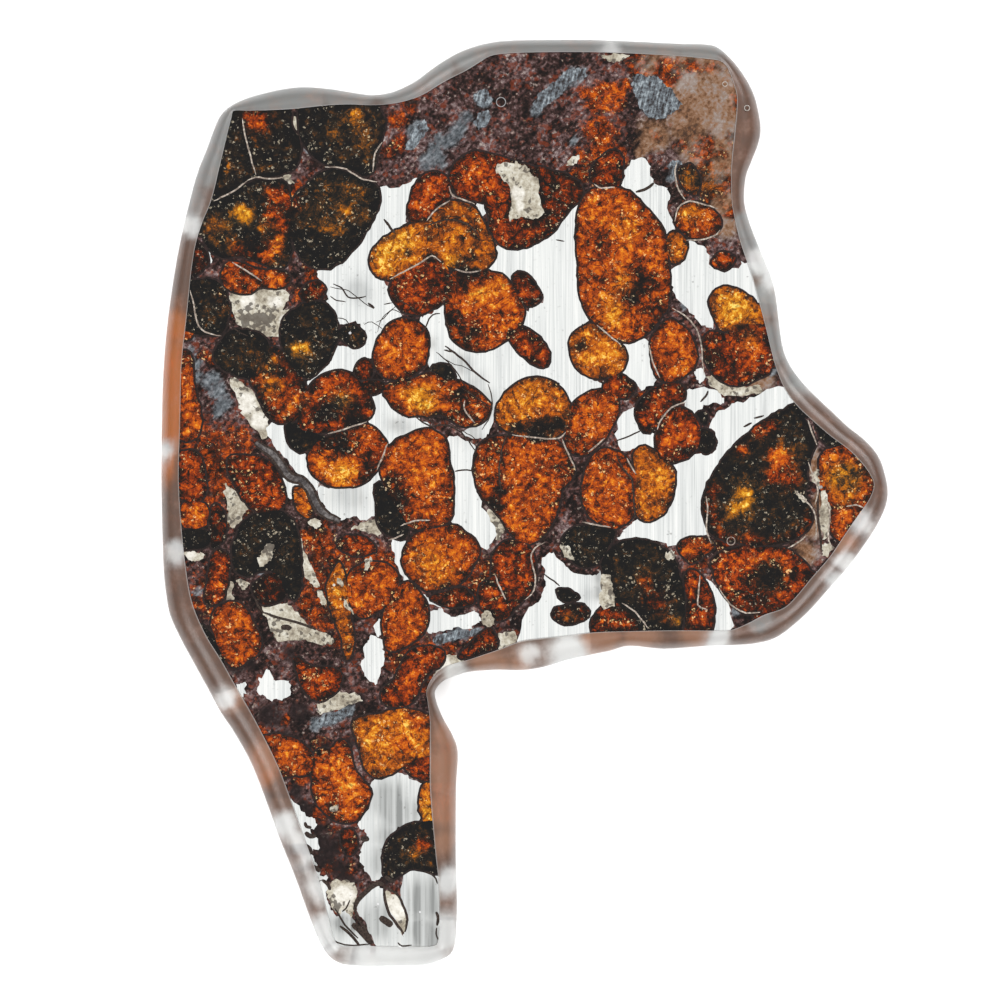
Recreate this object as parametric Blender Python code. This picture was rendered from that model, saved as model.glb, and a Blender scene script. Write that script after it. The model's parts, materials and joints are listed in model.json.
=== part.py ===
"""A polished slice of pallasite meteorite, lying on its lower face with the polished face up.

Rounded crystals of olivine go right through a slab of iron-nickel metal and its dark oxide. The slab's
cut edge slopes outward from the polished face, and a ring of clear resin seals it all round. Outlines
are drawn on a sheet in tenths of a millimetre, x to the right and y down, as seen from above.
"""

import math

import bmesh
import bpy
from mathutils import Matrix, Vector
from mathutils.geometry import interpolate_bezier, intersect_point_line

# Driving dimensions, in metres
SLICE_LENGTH = 0.0928
THICKNESS = 0.0034
CRYSTAL_GAP = 0.0003
LEAST_RESIN = 0.0004
SLOPE_SHARE = 0.7

# The drawing sheet, in its own units
SHEET_LENGTH = 928
SHEET_CENTRE_X = 524.5
SHEET_CENTRE_Y = 502.8
UNIT = SLICE_LENGTH / SHEET_LENGTH

# How finely the curves are drawn
SIDE_LENGTH = 13 * UNIT
LEAST_SIDES = 8
FINE_STEPS = 9
SETTLE_PASSES = 12

# A crystal drawn this near the polished face's edge runs on over the slope
EDGE_CATCH = 5 * UNIT
BEYOND_EDGE = 1.6
NEAR_CORNER = 0.8

# The resin's outer side: the share of the way out, and the share of the height
RESIN_SIDE = ((0.45, 0.93), (1.0, 0.4), (0.93, 0.0))

SHARP_ANGLE = math.radians(35)

# Colour, roughness and metallic value of each material
FINISHES = {
    "metal": ((0.36, 0.33, 0.32), 0.35, 0.8),
    "resin": ((0.62, 0.58, 0.55), 0.3, 0.0),
    "gold": ((0.75, 0.3, 0.03), 0.15, 0.0),
    "orange": ((0.5, 0.1, 0.01), 0.15, 0.0),
    "red": ((0.2, 0.03, 0.008), 0.15, 0.0),
    "dark": ((0.02, 0.014, 0.01), 0.15, 0.0),
}

# The polished face's edge, then the slice's outermost edge beside it, once round
EDGE_PAIRS = [
    (233, 111, 231, 104.5), (250, 110.5, 248, 97), (270, 110, 268, 91.5), (290, 109, 285, 88),
    (310, 107, 304, 86.3), (330, 105, 328, 88), (350, 104.3, 350, 91.5), (372, 105, 370, 94.2),
    (392, 103.5, 388, 92.5), (410, 99.5, 403, 87), (424, 94, 417, 79.5), (436, 86.5, 430, 69.5),
    (450, 78.5, 443, 60.5), (466, 70.5, 458, 52), (479, 62.5, 472, 46.5), (490, 56, 487, 42.5),
    (508, 53.2, 507, 39.8), (545, 52, 545, 39), (590, 52, 590, 39), (635, 53.5, 635, 40.7),
    (680, 56, 682, 42.9), (705, 58.5, 706, 43.5), (722, 61, 719, 47), (728, 68, 734, 61),
    (733, 81, 747, 79), (737, 96, 755, 96), (736.5, 113, 759.5, 115), (735, 128, 761, 131),
    (733.5, 143, 758, 145), (732, 158, 752.5, 159), (731.2, 176, 746, 177), (732, 202, 744.6, 201),
    (735, 219, 749, 219.5), (739.5, 238, 756, 238.5), (746, 258, 764, 258), (752, 275, 772, 278),
    (757, 292, 776.5, 298), (765.5, 325, 780, 327), (772, 353, 784, 350), (777, 370, 791.5, 367),
    (785, 389, 803, 382.5), (796, 404, 817, 397), (811, 418.5, 832, 411), (830, 435, 849, 427),
    (848, 448.5, 866, 440.5), (861, 461.5, 879, 456), (871, 475, 885.5, 474), (874.3, 485, 888.5, 491),
    (869, 500, 886, 507), (857, 517, 876, 528), (843, 537.5, 862, 549), (829, 558, 848, 568),
    (812, 577.5, 830, 588), (795, 598, 812, 608.5), (783, 608.5, 795, 624.5), (764, 615, 775, 638.5),
    (748, 623.5, 752, 644), (731, 630.3, 728, 645.5), (708, 630.7, 704, 646.4), (665, 630.5, 664, 649),
    (628, 631.4, 630, 646), (608, 631.8, 610, 651), (588, 633, 592, 654.7), (565, 636, 567, 660.3),
    (540, 638.5, 543, 667.3), (520, 641.5, 522, 670.3), (500, 649.3, 500, 670), (484, 654.7, 486, 670.5),
    (468, 660, 470, 672), (450, 665, 456, 676), (437, 672, 443, 681.5), (427, 689, 435, 691.5),
    (428, 703, 436.5, 703), (430, 720, 443, 719), (430, 737, 452.5, 736), (430, 755, 457.6, 753),
    (430, 785, 456, 785), (432.5, 820, 455.6, 820), (436, 857, 455.6, 857), (439, 885, 456.5, 885),
    (439.5, 920, 456.5, 922), (438, 942, 453, 951), (431, 946.7, 440, 961), (415, 947, 422, 966),
    (390, 946.7, 390, 966.8), (362, 946, 355, 966.5), (342, 946.5, 335, 962), (334, 939, 322, 948),
    (328.5, 918, 310.5, 921), (318, 878, 295, 878), (304, 838, 278, 836), (293.5, 808, 267.5, 806),
    (278, 767, 251.5, 765), (260, 730, 234, 733), (247, 706, 220.5, 713), (234, 683.5, 207, 688),
    (221, 660.5, 193, 662.5), (207.5, 639, 180.5, 639.5), (197, 617, 170, 616.5), (190.5, 597, 166, 597),
    (186, 570, 163.2, 572), (182, 535, 161.8, 536), (178.5, 480, 160.7, 480), (180, 420, 161.2, 420),
    (181.3, 366, 163, 367), (186.5, 317, 167.5, 317), (191.3, 270, 174.3, 270), (196, 242, 179.7, 241),
    (203, 220, 184.5, 219), (210, 203.5, 189.3, 200), (215, 186, 194, 182), (219.5, 166, 199.5, 165),
    (224, 147, 206.5, 148), (228, 130, 213, 130), (231, 119, 220, 114.5),
]

# Each crystal's tone, and the points that its smooth outline runs through
CRYSTALS = {
    "olivine_corner": ("dark", [
        (234, 113), (262, 111), (290, 110), (290, 125), (298, 138), (299, 152), (293, 168), (272, 176),
        (256, 176), (240, 185), (224, 195), (212, 201), (216, 185), (220, 165), (225, 147), (229, 130)]),
    "olivine_top_left": ("dark", [
        (302, 108), (330, 105), (352, 104), (372, 106), (382, 115), (384, 127), (378, 144), (374, 165),
        (368, 177), (350, 168), (328, 164), (312, 154), (302, 138), (300, 122)]),
    "olivine_west": ("dark", [
        (212, 203), (236, 190), (262, 180), (280, 181), (288, 192), (290, 215), (290, 248), (287, 263),
        (277, 267), (260, 261), (240, 255), (220, 256), (207, 244), (202, 228), (204, 214)]),
    "olivine_night": ("dark", [
        (310, 184), (322, 172), (344, 172), (366, 182), (377, 188), (378, 204), (368, 226), (354, 247),
        (335, 264), (316, 267), (303, 258), (294, 240), (292, 215), (297, 196)]),
    "olivine_rust": ("orange", [
        (222, 277), (227, 264), (242, 264), (258, 271), (276, 271), (289, 276), (287, 285), (274, 286),
        (262, 285), (250, 292), (236, 291), (226, 286)]),
    "olivine_left_dark": ("dark", [
        (190, 284), (206, 280), (220, 285), (228, 304), (226, 322), (220, 333), (206, 334), (186, 328),
        (187, 305)]),
    "olivine_coal": ("dark", [
        (224, 340), (232, 331), (250, 332), (266, 340), (266, 354), (257, 371), (248, 378), (232, 372),
        (218, 365), (215, 353)]),
    "olivine_knob": ("dark", [
        (303, 306), (316, 303), (327, 306), (336, 322), (336, 338), (330, 356), (318, 370), (306, 378),
        (294, 367), (284, 350), (282, 335), (286, 318)]),
    "olivine_mottled": ("red", [
        (262, 357), (270, 348), (282, 353), (298, 373), (306, 390), (306, 404), (297, 418), (276, 421),
        (266, 411), (258, 392), (251, 379)]),
    "olivine_left_orange": ("orange", [
        (183, 350), (190, 356), (193, 385), (199, 410), (200, 428), (194, 437), (180, 439), (180, 415),
        (181, 380)]),
    "olivine_left_red": ("red", [
        (181, 453), (198, 454), (203, 470), (205, 493), (196, 501), (184, 499), (179, 478)]),
    "olivine_red_band": ("red", [
        (230, 456), (250, 457), (264, 459), (277, 473), (284, 492), (284, 504), (270, 511), (256, 511),
        (246, 501), (237, 486), (230, 471)]),
    "olivine_black": ("dark", [
        (236, 538), (248, 518), (262, 514), (282, 513), (293, 524), (299, 545), (300, 575), (298, 594),
        (290, 598), (280, 576), (268, 569), (254, 572), (240, 576), (234, 558)]),
    "olivine_left_large": ("orange", [
        (212, 614), (224, 606), (238, 603), (249, 616), (260, 640), (258, 652), (248, 659), (234, 667),
        (222, 652), (215, 634)]),
    "olivine_saddle": ("gold", [
        (370, 261), (375, 249), (390, 235), (412, 225), (430, 218), (444, 205), (458, 202), (474, 210),
        (484, 225), (491, 240), (495, 252), (489, 264), (478, 270), (458, 269), (444, 263), (432, 256),
        (410, 268), (392, 279), (378, 275)]),
    "olivine_upper": ("red", [
        (418, 182), (430, 174), (444, 176), (450, 190), (445, 202), (430, 216), (416, 222), (409, 214),
        (412, 197)]),
    "olivine_under_saddle": ("red", [
        (390, 285), (408, 272), (432, 259), (446, 267), (449, 282), (443, 300), (428, 310), (410, 314),
        (396, 302)]),
    "olivine_round": ("orange", [
        (452, 273), (470, 271), (492, 273), (508, 281), (518, 300), (524, 314), (516, 330), (500, 343),
        (478, 350), (460, 344), (449, 328), (447, 302)]),
    "olivine_oblong": ("red", [
        (510, 337), (518, 328), (530, 331), (545, 346), (549, 360), (541, 368), (528, 359), (516, 347)]),
    "olivine_great_top": ("red", [
        (452, 170), (462, 159), (476, 152), (500, 158), (528, 166), (556, 173), (576, 181), (582, 191),
        (578, 201), (564, 211), (560, 223), (544, 237), (522, 247), (506, 246), (493, 234), (489, 214),
        (484, 201), (464, 198), (453, 186)]),
    "olivine_long": ("orange", [
        (584, 198), (594, 190), (616, 188), (632, 195), (648, 211), (663, 232), (667, 262), (668, 300),
        (654, 325), (634, 340), (614, 337), (594, 321), (582, 298), (579, 260), (577, 225)]),
    "olivine_cap": ("red", [
        (592, 170), (602, 158), (618, 150), (622, 164), (619, 184), (605, 185), (592, 180)]),
    "olivine_side_bead": ("gold", [
        (668, 238), (676, 231), (685, 242), (684, 256), (674, 263), (669, 253)]),
    "olivine_under_long": ("gold", [
        (571, 347), (574, 334), (592, 325), (608, 338), (624, 350), (622, 369), (604, 377), (586, 374),
        (575, 363)]),
    "olivine_right_mid": ("orange", [
        (652, 342), (662, 326), (673, 320), (688, 334), (696, 352), (691, 370), (678, 378), (662, 381),
        (654, 366)]),
    "olivine_golden": ("gold", [
        (711, 297), (722, 288), (738, 291), (754, 302), (765, 317), (767, 327), (744, 323), (728, 332),
        (716, 321)]),
    "olivine_brown": ("red", [
        (707, 333), (724, 335), (744, 326), (767, 330), (771, 350), (774, 366), (752, 380), (734, 385),
        (714, 373), (705, 355)]),
    "olivine_dome": ("gold", [
        (496, 414), (504, 397), (520, 383), (540, 379), (558, 387), (569, 404), (567, 424), (558, 435),
        (540, 436), (512, 432), (500, 424)]),
    "olivine_heart": ("orange", [
        (500, 437), (520, 438), (545, 440), (558, 442), (568, 456), (575, 474), (562, 487), (557, 510),
        (546, 531), (532, 542), (514, 536), (502, 517), (484, 497), (475, 474), (478, 450), (488, 440)]),
    "olivine_slant": ("orange", [
        (573, 405), (588, 394), (604, 391), (618, 401), (612, 424), (598, 444), (578, 455), (566, 442),
        (570, 420)]),
    "olivine_twin_left": ("orange", [
        (588, 466), (602, 450), (622, 456), (633, 472), (635, 500), (628, 521), (610, 527), (592, 517),
        (583, 498)]),
    "olivine_twin_right": ("gold", [
        (634, 456), (645, 446), (657, 455), (671, 467), (674, 485), (665, 510), (648, 520), (638, 516),
        (637, 490), (637, 472)]),
    "olivine_amber": ("red", [
        (657, 440), (662, 422), (676, 408), (693, 416), (700, 434), (693, 452), (676, 461), (660, 457)]),
    "olivine_rosette": ("red", [
        (636, 410), (648, 394), (668, 384), (684, 388), (682, 399), (665, 409), (655, 427), (645, 431)]),
    "olivine_crescent": ("red", [
        (310, 388), (324, 376), (342, 372), (355, 378), (368, 394), (372, 410), (364, 421), (340, 428),
        (318, 432), (301, 427), (299, 416), (306, 402)]),
    "olivine_bowl": ("orange", [
        (312, 448), (330, 437), (352, 430), (368, 425), (380, 436), (388, 449), (380, 464), (366, 480),
        (344, 486), (322, 481), (310, 466)]),
    "olivine_tall": ("orange", [
        (381, 463), (387, 450), (404, 438), (430, 430), (446, 443), (447, 458), (452, 476), (452, 500),
        (450, 520), (430, 526), (412, 528), (399, 508), (387, 491)]),
    "olivine_under_tall": ("dark", [
        (376, 483), (383, 488), (396, 506), (408, 528), (404, 538), (388, 534), (379, 524), (378, 505)]),
    "olivine_kidney_top": ("orange", [
        (375, 352), (380, 338), (392, 323), (410, 320), (424, 330), (428, 346), (423, 364), (410, 376),
        (392, 379), (378, 370)]),
    "olivine_kidney": ("orange", [
        (385, 388), (398, 382), (414, 380), (430, 373), (446, 382), (460, 382), (474, 391), (488, 403),
        (487, 415), (475, 424), (456, 423), (444, 413), (430, 415), (405, 413), (390, 402)]),
    "olivine_hexagon": ("orange", [
        (418, 533), (436, 529), (452, 526), (466, 534), (478, 547), (474, 562), (463, 580), (446, 586),
        (428, 589), (411, 577), (403, 560), (408, 545)]),
    "olivine_red_oval": ("red", [
        (493, 558), (500, 546), (516, 541), (531, 551), (535, 574), (530, 592), (518, 603), (508, 616),
        (494, 620), (482, 606), (480, 588), (492, 578)]),
    "olivine_lower_left": ("orange", [
        (398, 590), (405, 582), (417, 591), (427, 608), (424, 630), (410, 642), (393, 651), (385, 640),
        (385, 612)]),
    "olivine_fan": ("orange", [
        (351, 602), (348, 580), (358, 567), (380, 563), (394, 571), (397, 583), (388, 601), (374, 613),
        (359, 616)]),
    "olivine_low_red": ("red", [
        (295, 656), (312, 668), (332, 668), (342, 678), (330, 696), (314, 699), (302, 684)]),
    "olivine_notch": ("red", [
        (384, 690), (396, 678), (404, 662), (412, 651), (430, 647), (445, 655), (436, 668), (424, 676),
        (413, 700), (395, 706), (384, 702)]),
    "olivine_tail_left": ("orange", [
        (264, 738), (278, 735), (302, 744), (312, 756), (310, 772), (298, 774), (281, 774), (271, 752)]),
    "olivine_tail_middle": ("orange", [
        (316, 753), (330, 751), (343, 739), (350, 752), (354, 771), (369, 790), (367, 804), (354, 821),
        (336, 820), (320, 806), (313, 788)]),
    "olivine_tail_right": ("gold", [
        (354, 722), (374, 716), (398, 710), (418, 712), (430, 722), (430, 740), (430, 752), (410, 760),
        (396, 770), (376, 777), (366, 768), (360, 748)]),
    "olivine_tail_dome": ("dark", [
        (384, 857), (392, 837), (410, 826), (433, 824), (435, 850), (437, 872), (414, 867), (398, 875),
        (388, 881)]),
    "olivine_great_dark": ("dark", [
        (704, 505), (706, 492), (716, 472), (732, 450), (756, 428), (782, 411), (800, 413), (810, 430),
        (814, 446), (807, 462), (806, 482), (804, 498), (812, 512), (806, 529), (786, 541), (756, 544),
        (724, 539), (710, 530)]),
    "olivine_tip": ("orange", [
        (824, 453), (842, 449), (860, 462), (873, 482), (867, 500), (854, 520), (840, 540), (831, 530),
        (828, 508), (821, 488), (820, 468)]),
    "olivine_low_round": ("dark", [
        (604, 560), (614, 547), (634, 540), (656, 545), (674, 561), (682, 590), (684, 612), (676, 629),
        (647, 631), (632, 615), (612, 595), (604, 576)]),
    "olivine_low_strip": ("red", [
        (686, 575), (693, 570), (706, 585), (713, 606), (709, 630), (687, 630), (688, 603)]),
    "olivine_low_right": ("red", [
        (713, 562), (728, 550), (756, 548), (788, 551), (806, 566), (812, 578), (795, 597), (782, 608),
        (764, 615), (744, 612), (728, 598), (719, 584)]),
    "olivine_low_wedge": ("red", [
        (590, 632), (598, 613), (611, 603), (627, 610), (645, 631), (620, 631)]),
    "olivine_wedge": ("dark", [
        (562, 543), (573, 529), (594, 527), (614, 531), (607, 547), (600, 559), (586, 567), (570, 557)]),
    "olivine_top_right": ("orange", [
        (676, 217), (690, 203), (712, 210), (720, 226), (706, 237), (684, 233)]),
}

# Where crystals meet and leave no metal between them: the middle, and how far it reaches
MEETINGS = [(769, 326, 6), (206, 196, 12), (437, 259, 3), (452, 270, 8)]
MEETING_SIDES = 8


def clear_scene():
    """Takes away whatever the file opened with."""
    for old in list(bpy.data.objects):
        bpy.data.objects.remove(old)


def place(x, y):
    """A point of the drawing sheet, in metres."""
    return Vector(((x - SHEET_CENTRE_X) * UNIT, (SHEET_CENTRE_Y - y) * UNIT, 0))


def at_height(points, height):
    """The same points at this height."""
    return [Vector((point.x, point.y, height)) for point in points]


def turned_left(loop):
    """The loop running counter-clockwise as seen from above."""
    area = sum(start.x * end.y - start.y * end.x for start, end in zip(loop, loop[1:] + loop[:1]))
    return loop if area > 0 else loop[::-1]


def smooth_loop(points):
    """Evenly spaced points along the smooth closed curve through these."""
    fine = []
    count = len(points)
    for index, start in enumerate(points):
        before = points[index - 1]
        end = points[(index + 1) % count]
        after = points[(index + 2) % count]
        leaving = start + (end - before) / 6
        arriving = end - (after - start) / 6
        fine += interpolate_bezier(start, leaving, arriving, end, FINE_STEPS)[:-1]
    steps = [(end - start).length for start, end in zip(fine, fine[1:] + fine[:1])]
    sides = max(LEAST_SIDES, round(sum(steps) / SIDE_LENGTH))
    spacing = sum(steps) / sides
    loop = []
    walked = 0.0
    for point, step in zip(fine, steps):
        if len(loop) < sides and walked >= spacing * len(loop) - step / 2:
            loop.append(point)
        walked += step
    return loop


def grown(loop, distance):
    """The loop with every point moved outward by this distance."""
    count = len(loop)
    moved = []
    for index, point in enumerate(loop):
        along = (loop[(index + 1) % count] - loop[index - 1]).normalized()
        moved.append(point + Vector((along.y, -along.x, 0)) * distance)
    return moved


def inside(point, loop):
    """Whether the point lies within the loop."""
    odd = False
    for start, end in zip(loop, loop[1:] + loop[:1]):
        if (start.y > point.y) != (end.y > point.y):
            crossing = start.x + (point.y - start.y) * (end.x - start.x) / (end.y - start.y)
            odd ^= point.x < crossing
    return odd


def nearest_on(loop, point):
    """The nearest point on the loop, and how far round it lies, counted in corners."""
    best = None
    for index, start in enumerate(loop):
        end = loop[(index + 1) % len(loop)]
        share = intersect_point_line(point, start, end)[1]
        share = min(1.0, max(0.0, share))
        found = start.lerp(end, share)
        distance = (found - point).length
        if best is None or distance < best[0]:
            best = (distance, found, index + share)
    return best[1], best[2]


def settle(loops):
    """Moves the points that lie inside a neighbour halfway back out of it, until none overlap."""
    names = list(loops)
    for _ in range(SETTLE_PASSES):
        for name in names:
            for other in names:
                if other == name or not close_together(loops[name], loops[other]):
                    continue
                for index, point in enumerate(loops[name]):
                    if inside(point, loops[other]):
                        border = nearest_on(loops[other], point)[0]
                        loops[name][index] = point.lerp(border, 0.6)


def close_together(loop, other):
    """Whether the two loops' boxes meet."""
    for axis in range(2):
        if max(point[axis] for point in loop) < min(point[axis] for point in other):
            return False
        if max(point[axis] for point in other) < min(point[axis] for point in loop):
            return False
    return True


class Edge:
    """The slice's edge all round: the polished face's border, and the way out from it to the outermost edge."""

    def __init__(self, pairs):
        border = [place(x, y) for x, y, _, _ in pairs]
        rim = [place(x, y) for _, _, x, y in pairs]
        if turned_left(border) is not border:
            border = border[::-1]
            rim = rim[::-1]
        self.border = border
        self.reach = [outer - inner for inner, outer in zip(border, rim)]

    def at(self, where):
        """The border's point and the way out there, this far round."""
        index = int(where) % len(self.border)
        following = (index + 1) % len(self.border)
        share = where - int(where)
        return (self.border[index].lerp(self.border[following], share),
                self.reach[index].lerp(self.reach[following], share))

    def further(self, where, distance):
        """The place this distance further round from there."""
        index = int(where) % len(self.border)
        length = (self.border[(index + 1) % len(self.border)] - self.border[index]).length
        return (where + distance / length) % len(self.border)

    def foot(self, where):
        """Where the slab's slope comes down to the lower face, this far round."""
        point, reach = self.at(where)
        room = (reach.length - CRYSTAL_GAP - LEAST_RESIN) / reach.length
        return point + reach * max(0.0, min(SLOPE_SHARE, room))

    def ring(self, share):
        """The loop this share of the way from just outside the border to the outermost edge."""
        loop = []
        for point, reach in zip(self.border, self.reach):
            outward = reach.normalized()
            loop.append(point + outward * (CRYSTAL_GAP + share * (reach.length - CRYSTAL_GAP)))
        return loop

    def stretch(self, start, end):
        """Places round the border from start to end, with each corner between, or one where the ends pass."""
        if 0 < (start - end) % len(self.border) < 1:
            return [start]
        if end < start:
            end += len(self.border)
        corners = range(math.floor(start) + 1, math.ceil(end))
        return [start, *corners, end]


def edge_runs(loop, edge):
    """For each point of the loop, how far round the border it lies, or None where it is away from the edge."""
    places = []
    for point in loop:
        found, where = nearest_on(edge.border, point)
        places.append(where if (found - point).length < EDGE_CATCH else None)
    return places


def from_first_inner(loop, places):
    """The loop and its places turned so that they start away from the edge."""
    first = next(index for index, where in enumerate(places) if where is None)
    return loop[first:] + loop[:first], places[first:] + places[:first]


def crystal_rings(loop, edge, growth, through_edge):
    """The top and bottom outlines of a crystal, or of its pocket, which is open through the edge."""
    loop, places = from_first_inner(loop, edge_runs(loop, edge))
    moved = grown(loop, growth)
    top = []
    bottom = []
    index = 0
    while index < len(loop):
        if places[index] is None:
            top.append(moved[index])
            bottom.append(moved[index])
            index += 1
            continue
        last = index
        while last + 1 < len(loop) and places[last + 1] is not None:
            last += 1
        start = edge.further(places[index], -growth)
        end = edge.further(places[last], growth)
        run = edge.stretch(start, end)
        if through_edge:
            outside = [point + reach * BEYOND_EDGE for point, reach in map(edge.at, run)]
            run_points = [edge.at(start)[0], *outside, edge.at(end)[0]]
            top += run_points
            bottom += run_points
        else:
            border = [edge.at(where)[0] for where in run]
            before = moved[index - 1].lerp(border[0], NEAR_CORNER)
            after = moved[(last + 1) % len(moved)].lerp(border[-1], NEAR_CORNER)
            top += [before, *border, after]
            bottom += [border[0], *[edge.foot(where) for where in run], border[-1]]
        index = last + 1
    return top, bottom


def finish(tone):
    """The material of this name, made once."""
    material = bpy.data.materials.get(tone)
    if material is None:
        colour, roughness, metallic = FINISHES[tone]
        material = bpy.data.materials.new(tone)
        material.use_nodes = True
        shader = material.node_tree.nodes["Principled BSDF"]
        shader.inputs["Base Color"].default_value = (*colour, 1)
        shader.inputs["Roughness"].default_value = roughness
        shader.inputs["Metallic"].default_value = metallic
    return material


def loft(name, tone, rings, closed_round=False):
    """An object with sides between these rings, and a face on each end or the last ring joined to the first."""
    mesh = bpy.data.meshes.new(name)
    shape = bmesh.new()
    rows = [[shape.verts.new(point) for point in ring] for ring in rings]
    joins = list(zip(rows, rows[1:]))
    if closed_round:
        joins.append((rows[-1], rows[0]))
    else:
        shape.faces.new(rows[0])
        shape.faces.new(rows[-1][::-1])
    for upper, lower in joins:
        for index in range(len(upper)):
            shape.faces.new((upper[index - 1], lower[index - 1], lower[index], upper[index]))
    bmesh.ops.recalc_face_normals(shape, faces=shape.faces)
    shape.to_mesh(mesh)
    shape.free()
    mesh.shade_smooth()
    mesh.set_sharp_from_angle(angle=SHARP_ANGLE)
    mesh.materials.append(finish(tone))
    piece = bpy.data.objects.new(name, mesh)
    bpy.context.scene.collection.objects.link(piece)
    return piece


def make_crystals(loops, edge):
    """One solid for each crystal, from the polished face down to the lower one."""
    for name, (tone, _) in CRYSTALS.items():
        top, bottom = crystal_rings(loops[name], edge, -CRYSTAL_GAP / 2, through_edge=False)
        loft(name, tone, [at_height(top, THICKNESS), bottom])


def add_cutter(name, outline, pockets):
    """A cutter that goes right through the slab, added to the pockets."""
    cutter = loft(name, "metal", [at_height(outline, 2 * THICKNESS), at_height(outline, -THICKNESS)])
    bpy.context.scene.collection.objects.unlink(cutter)
    pockets.objects.link(cutter)
    cutter.hide_render = True
    cutter.display_type = "WIRE"


def make_pockets(loops, edge):
    """The cutters of the crystals' pockets and of their meetings, in a collection of their own."""
    pockets = bpy.data.collections.new("pockets")
    bpy.context.scene.collection.children.link(pockets)
    for name in CRYSTALS:
        outline, _ = crystal_rings(loops[name], edge, CRYSTAL_GAP / 2, through_edge=True)
        add_cutter(name + "_pocket", outline, pockets)
    for number, (x, y, radius) in enumerate(MEETINGS, 1):
        spokes = [Matrix.Rotation(math.tau * side / MEETING_SIDES, 3, "Z") @ Vector((radius * UNIT, 0, 0))
                  for side in range(MEETING_SIDES)]
        add_cutter(f"meeting_{number}", [place(x, y) + spoke for spoke in spokes], pockets)
    return pockets


def make_matrix(edge, pockets):
    """The slab of metal and oxide, with a pocket for every crystal."""
    foot = [edge.foot(corner) for corner in range(len(edge.border))]
    slab = loft("metal_matrix", "metal", [at_height(edge.border, THICKNESS), foot])
    cut = slab.modifiers.new("pockets", "BOOLEAN")
    cut.operation = "DIFFERENCE"
    cut.operand_type = "COLLECTION"
    cut.collection = pockets
    cut.solver = "EXACT"


def make_resin(edge):
    """The ring of clear resin that lies on the slope and rounds the slice's edge."""
    foot = [edge.foot(corner) for corner in range(len(edge.border))]
    inner = []
    for point, reach in zip(foot, edge.reach):
        inner.append(point + reach.normalized() * CRYSTAL_GAP)
    rings = [inner, at_height(edge.ring(0.0), THICKNESS)]
    for share, height in RESIN_SIDE:
        rings.append(at_height(edge.ring(share), height * THICKNESS))
    loft("resin_edge", "resin", rings, closed_round=True)


def main():
    clear_scene()
    edge = Edge(EDGE_PAIRS)
    loops = {}
    for name, (_, outline) in CRYSTALS.items():
        loops[name] = smooth_loop(turned_left([place(x, y) for x, y in outline]))
    settle(loops)
    make_crystals(loops, edge)
    make_matrix(edge, make_pockets(loops, edge))
    make_resin(edge)


main()
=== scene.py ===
import json
import math
import random

import bmesh
import bpy
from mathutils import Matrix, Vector, geometry, kdtree, noise


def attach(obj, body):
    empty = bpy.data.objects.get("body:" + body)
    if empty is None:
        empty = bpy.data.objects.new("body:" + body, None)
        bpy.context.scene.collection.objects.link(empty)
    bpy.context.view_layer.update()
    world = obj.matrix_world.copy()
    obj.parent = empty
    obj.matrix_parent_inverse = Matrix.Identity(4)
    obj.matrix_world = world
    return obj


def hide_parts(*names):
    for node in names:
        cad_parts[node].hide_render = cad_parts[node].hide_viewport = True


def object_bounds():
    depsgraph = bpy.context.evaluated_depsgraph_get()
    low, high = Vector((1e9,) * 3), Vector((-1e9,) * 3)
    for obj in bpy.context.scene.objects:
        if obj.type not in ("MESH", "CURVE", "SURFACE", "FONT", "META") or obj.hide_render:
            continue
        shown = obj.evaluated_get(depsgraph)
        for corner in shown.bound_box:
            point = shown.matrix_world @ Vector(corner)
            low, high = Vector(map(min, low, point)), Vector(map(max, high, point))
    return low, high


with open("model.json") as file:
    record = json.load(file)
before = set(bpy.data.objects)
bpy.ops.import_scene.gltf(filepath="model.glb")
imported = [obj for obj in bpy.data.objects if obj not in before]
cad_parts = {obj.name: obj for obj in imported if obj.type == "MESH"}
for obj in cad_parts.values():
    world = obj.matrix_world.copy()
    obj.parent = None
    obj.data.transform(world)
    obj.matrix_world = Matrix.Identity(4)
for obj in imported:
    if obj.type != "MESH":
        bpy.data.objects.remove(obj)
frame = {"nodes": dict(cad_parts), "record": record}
CAD_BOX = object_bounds()

# The polished face and its ground edge
# The slice is sawn flat and polished, and its cut edge is ground to a slope. The face's border, the foot of
# the slope and the widest line of the resin round it are read from the resin ring's solid.
FACE_HEIGHT = CAD_BOX[1][2]
RING_GAP = 0.0003
WIDEST_SHARE = 0.4
BORDER_STEPS = 4
LEVEL = 1e-5
SAME_POINT = 1e-6
FLAT_FACE = 0.99


def turned_left(loop):
    """The loop, turned round if it didn't run counter-clockwise."""
    area = sum(start.x * end.y - start.y * end.x for start, end in zip(loop, loop[1:] + loop[:1]))
    return loop if area > 0 else loop[::-1]


def loops_at(node, height):
    """The solid's outlines at this height, each a counter-clockwise list of points, the longest first."""
    shape = bmesh.new()
    shape.from_mesh(frame["nodes"][node].data)
    bmesh.ops.remove_doubles(shape, verts=shape.verts, dist=SAME_POINT)
    ties = {}
    for edge in shape.edges:
        if all(abs(vert.co.z - height) < LEVEL for vert in edge.verts):
            if not all(abs(face.normal.z) > FLAT_FACE for face in edge.link_faces):
                for vert in edge.verts:
                    ties.setdefault(vert, []).append(edge.other_vert(vert))
    found = []
    while ties:
        walk = [next(iter(ties))]
        while True:
            onward = [vert for vert in ties.pop(walk[-1]) if vert in ties]
            if not onward:
                break
            walk.append(onward[0])
        found.append(turned_left([Vector((vert.co.x, vert.co.y, 0)) for vert in walk]))
    shape.free()
    return sorted(found, key=lambda loop: -sum((a - b).length for a, b in zip(loop, loop[1:])))


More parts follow.
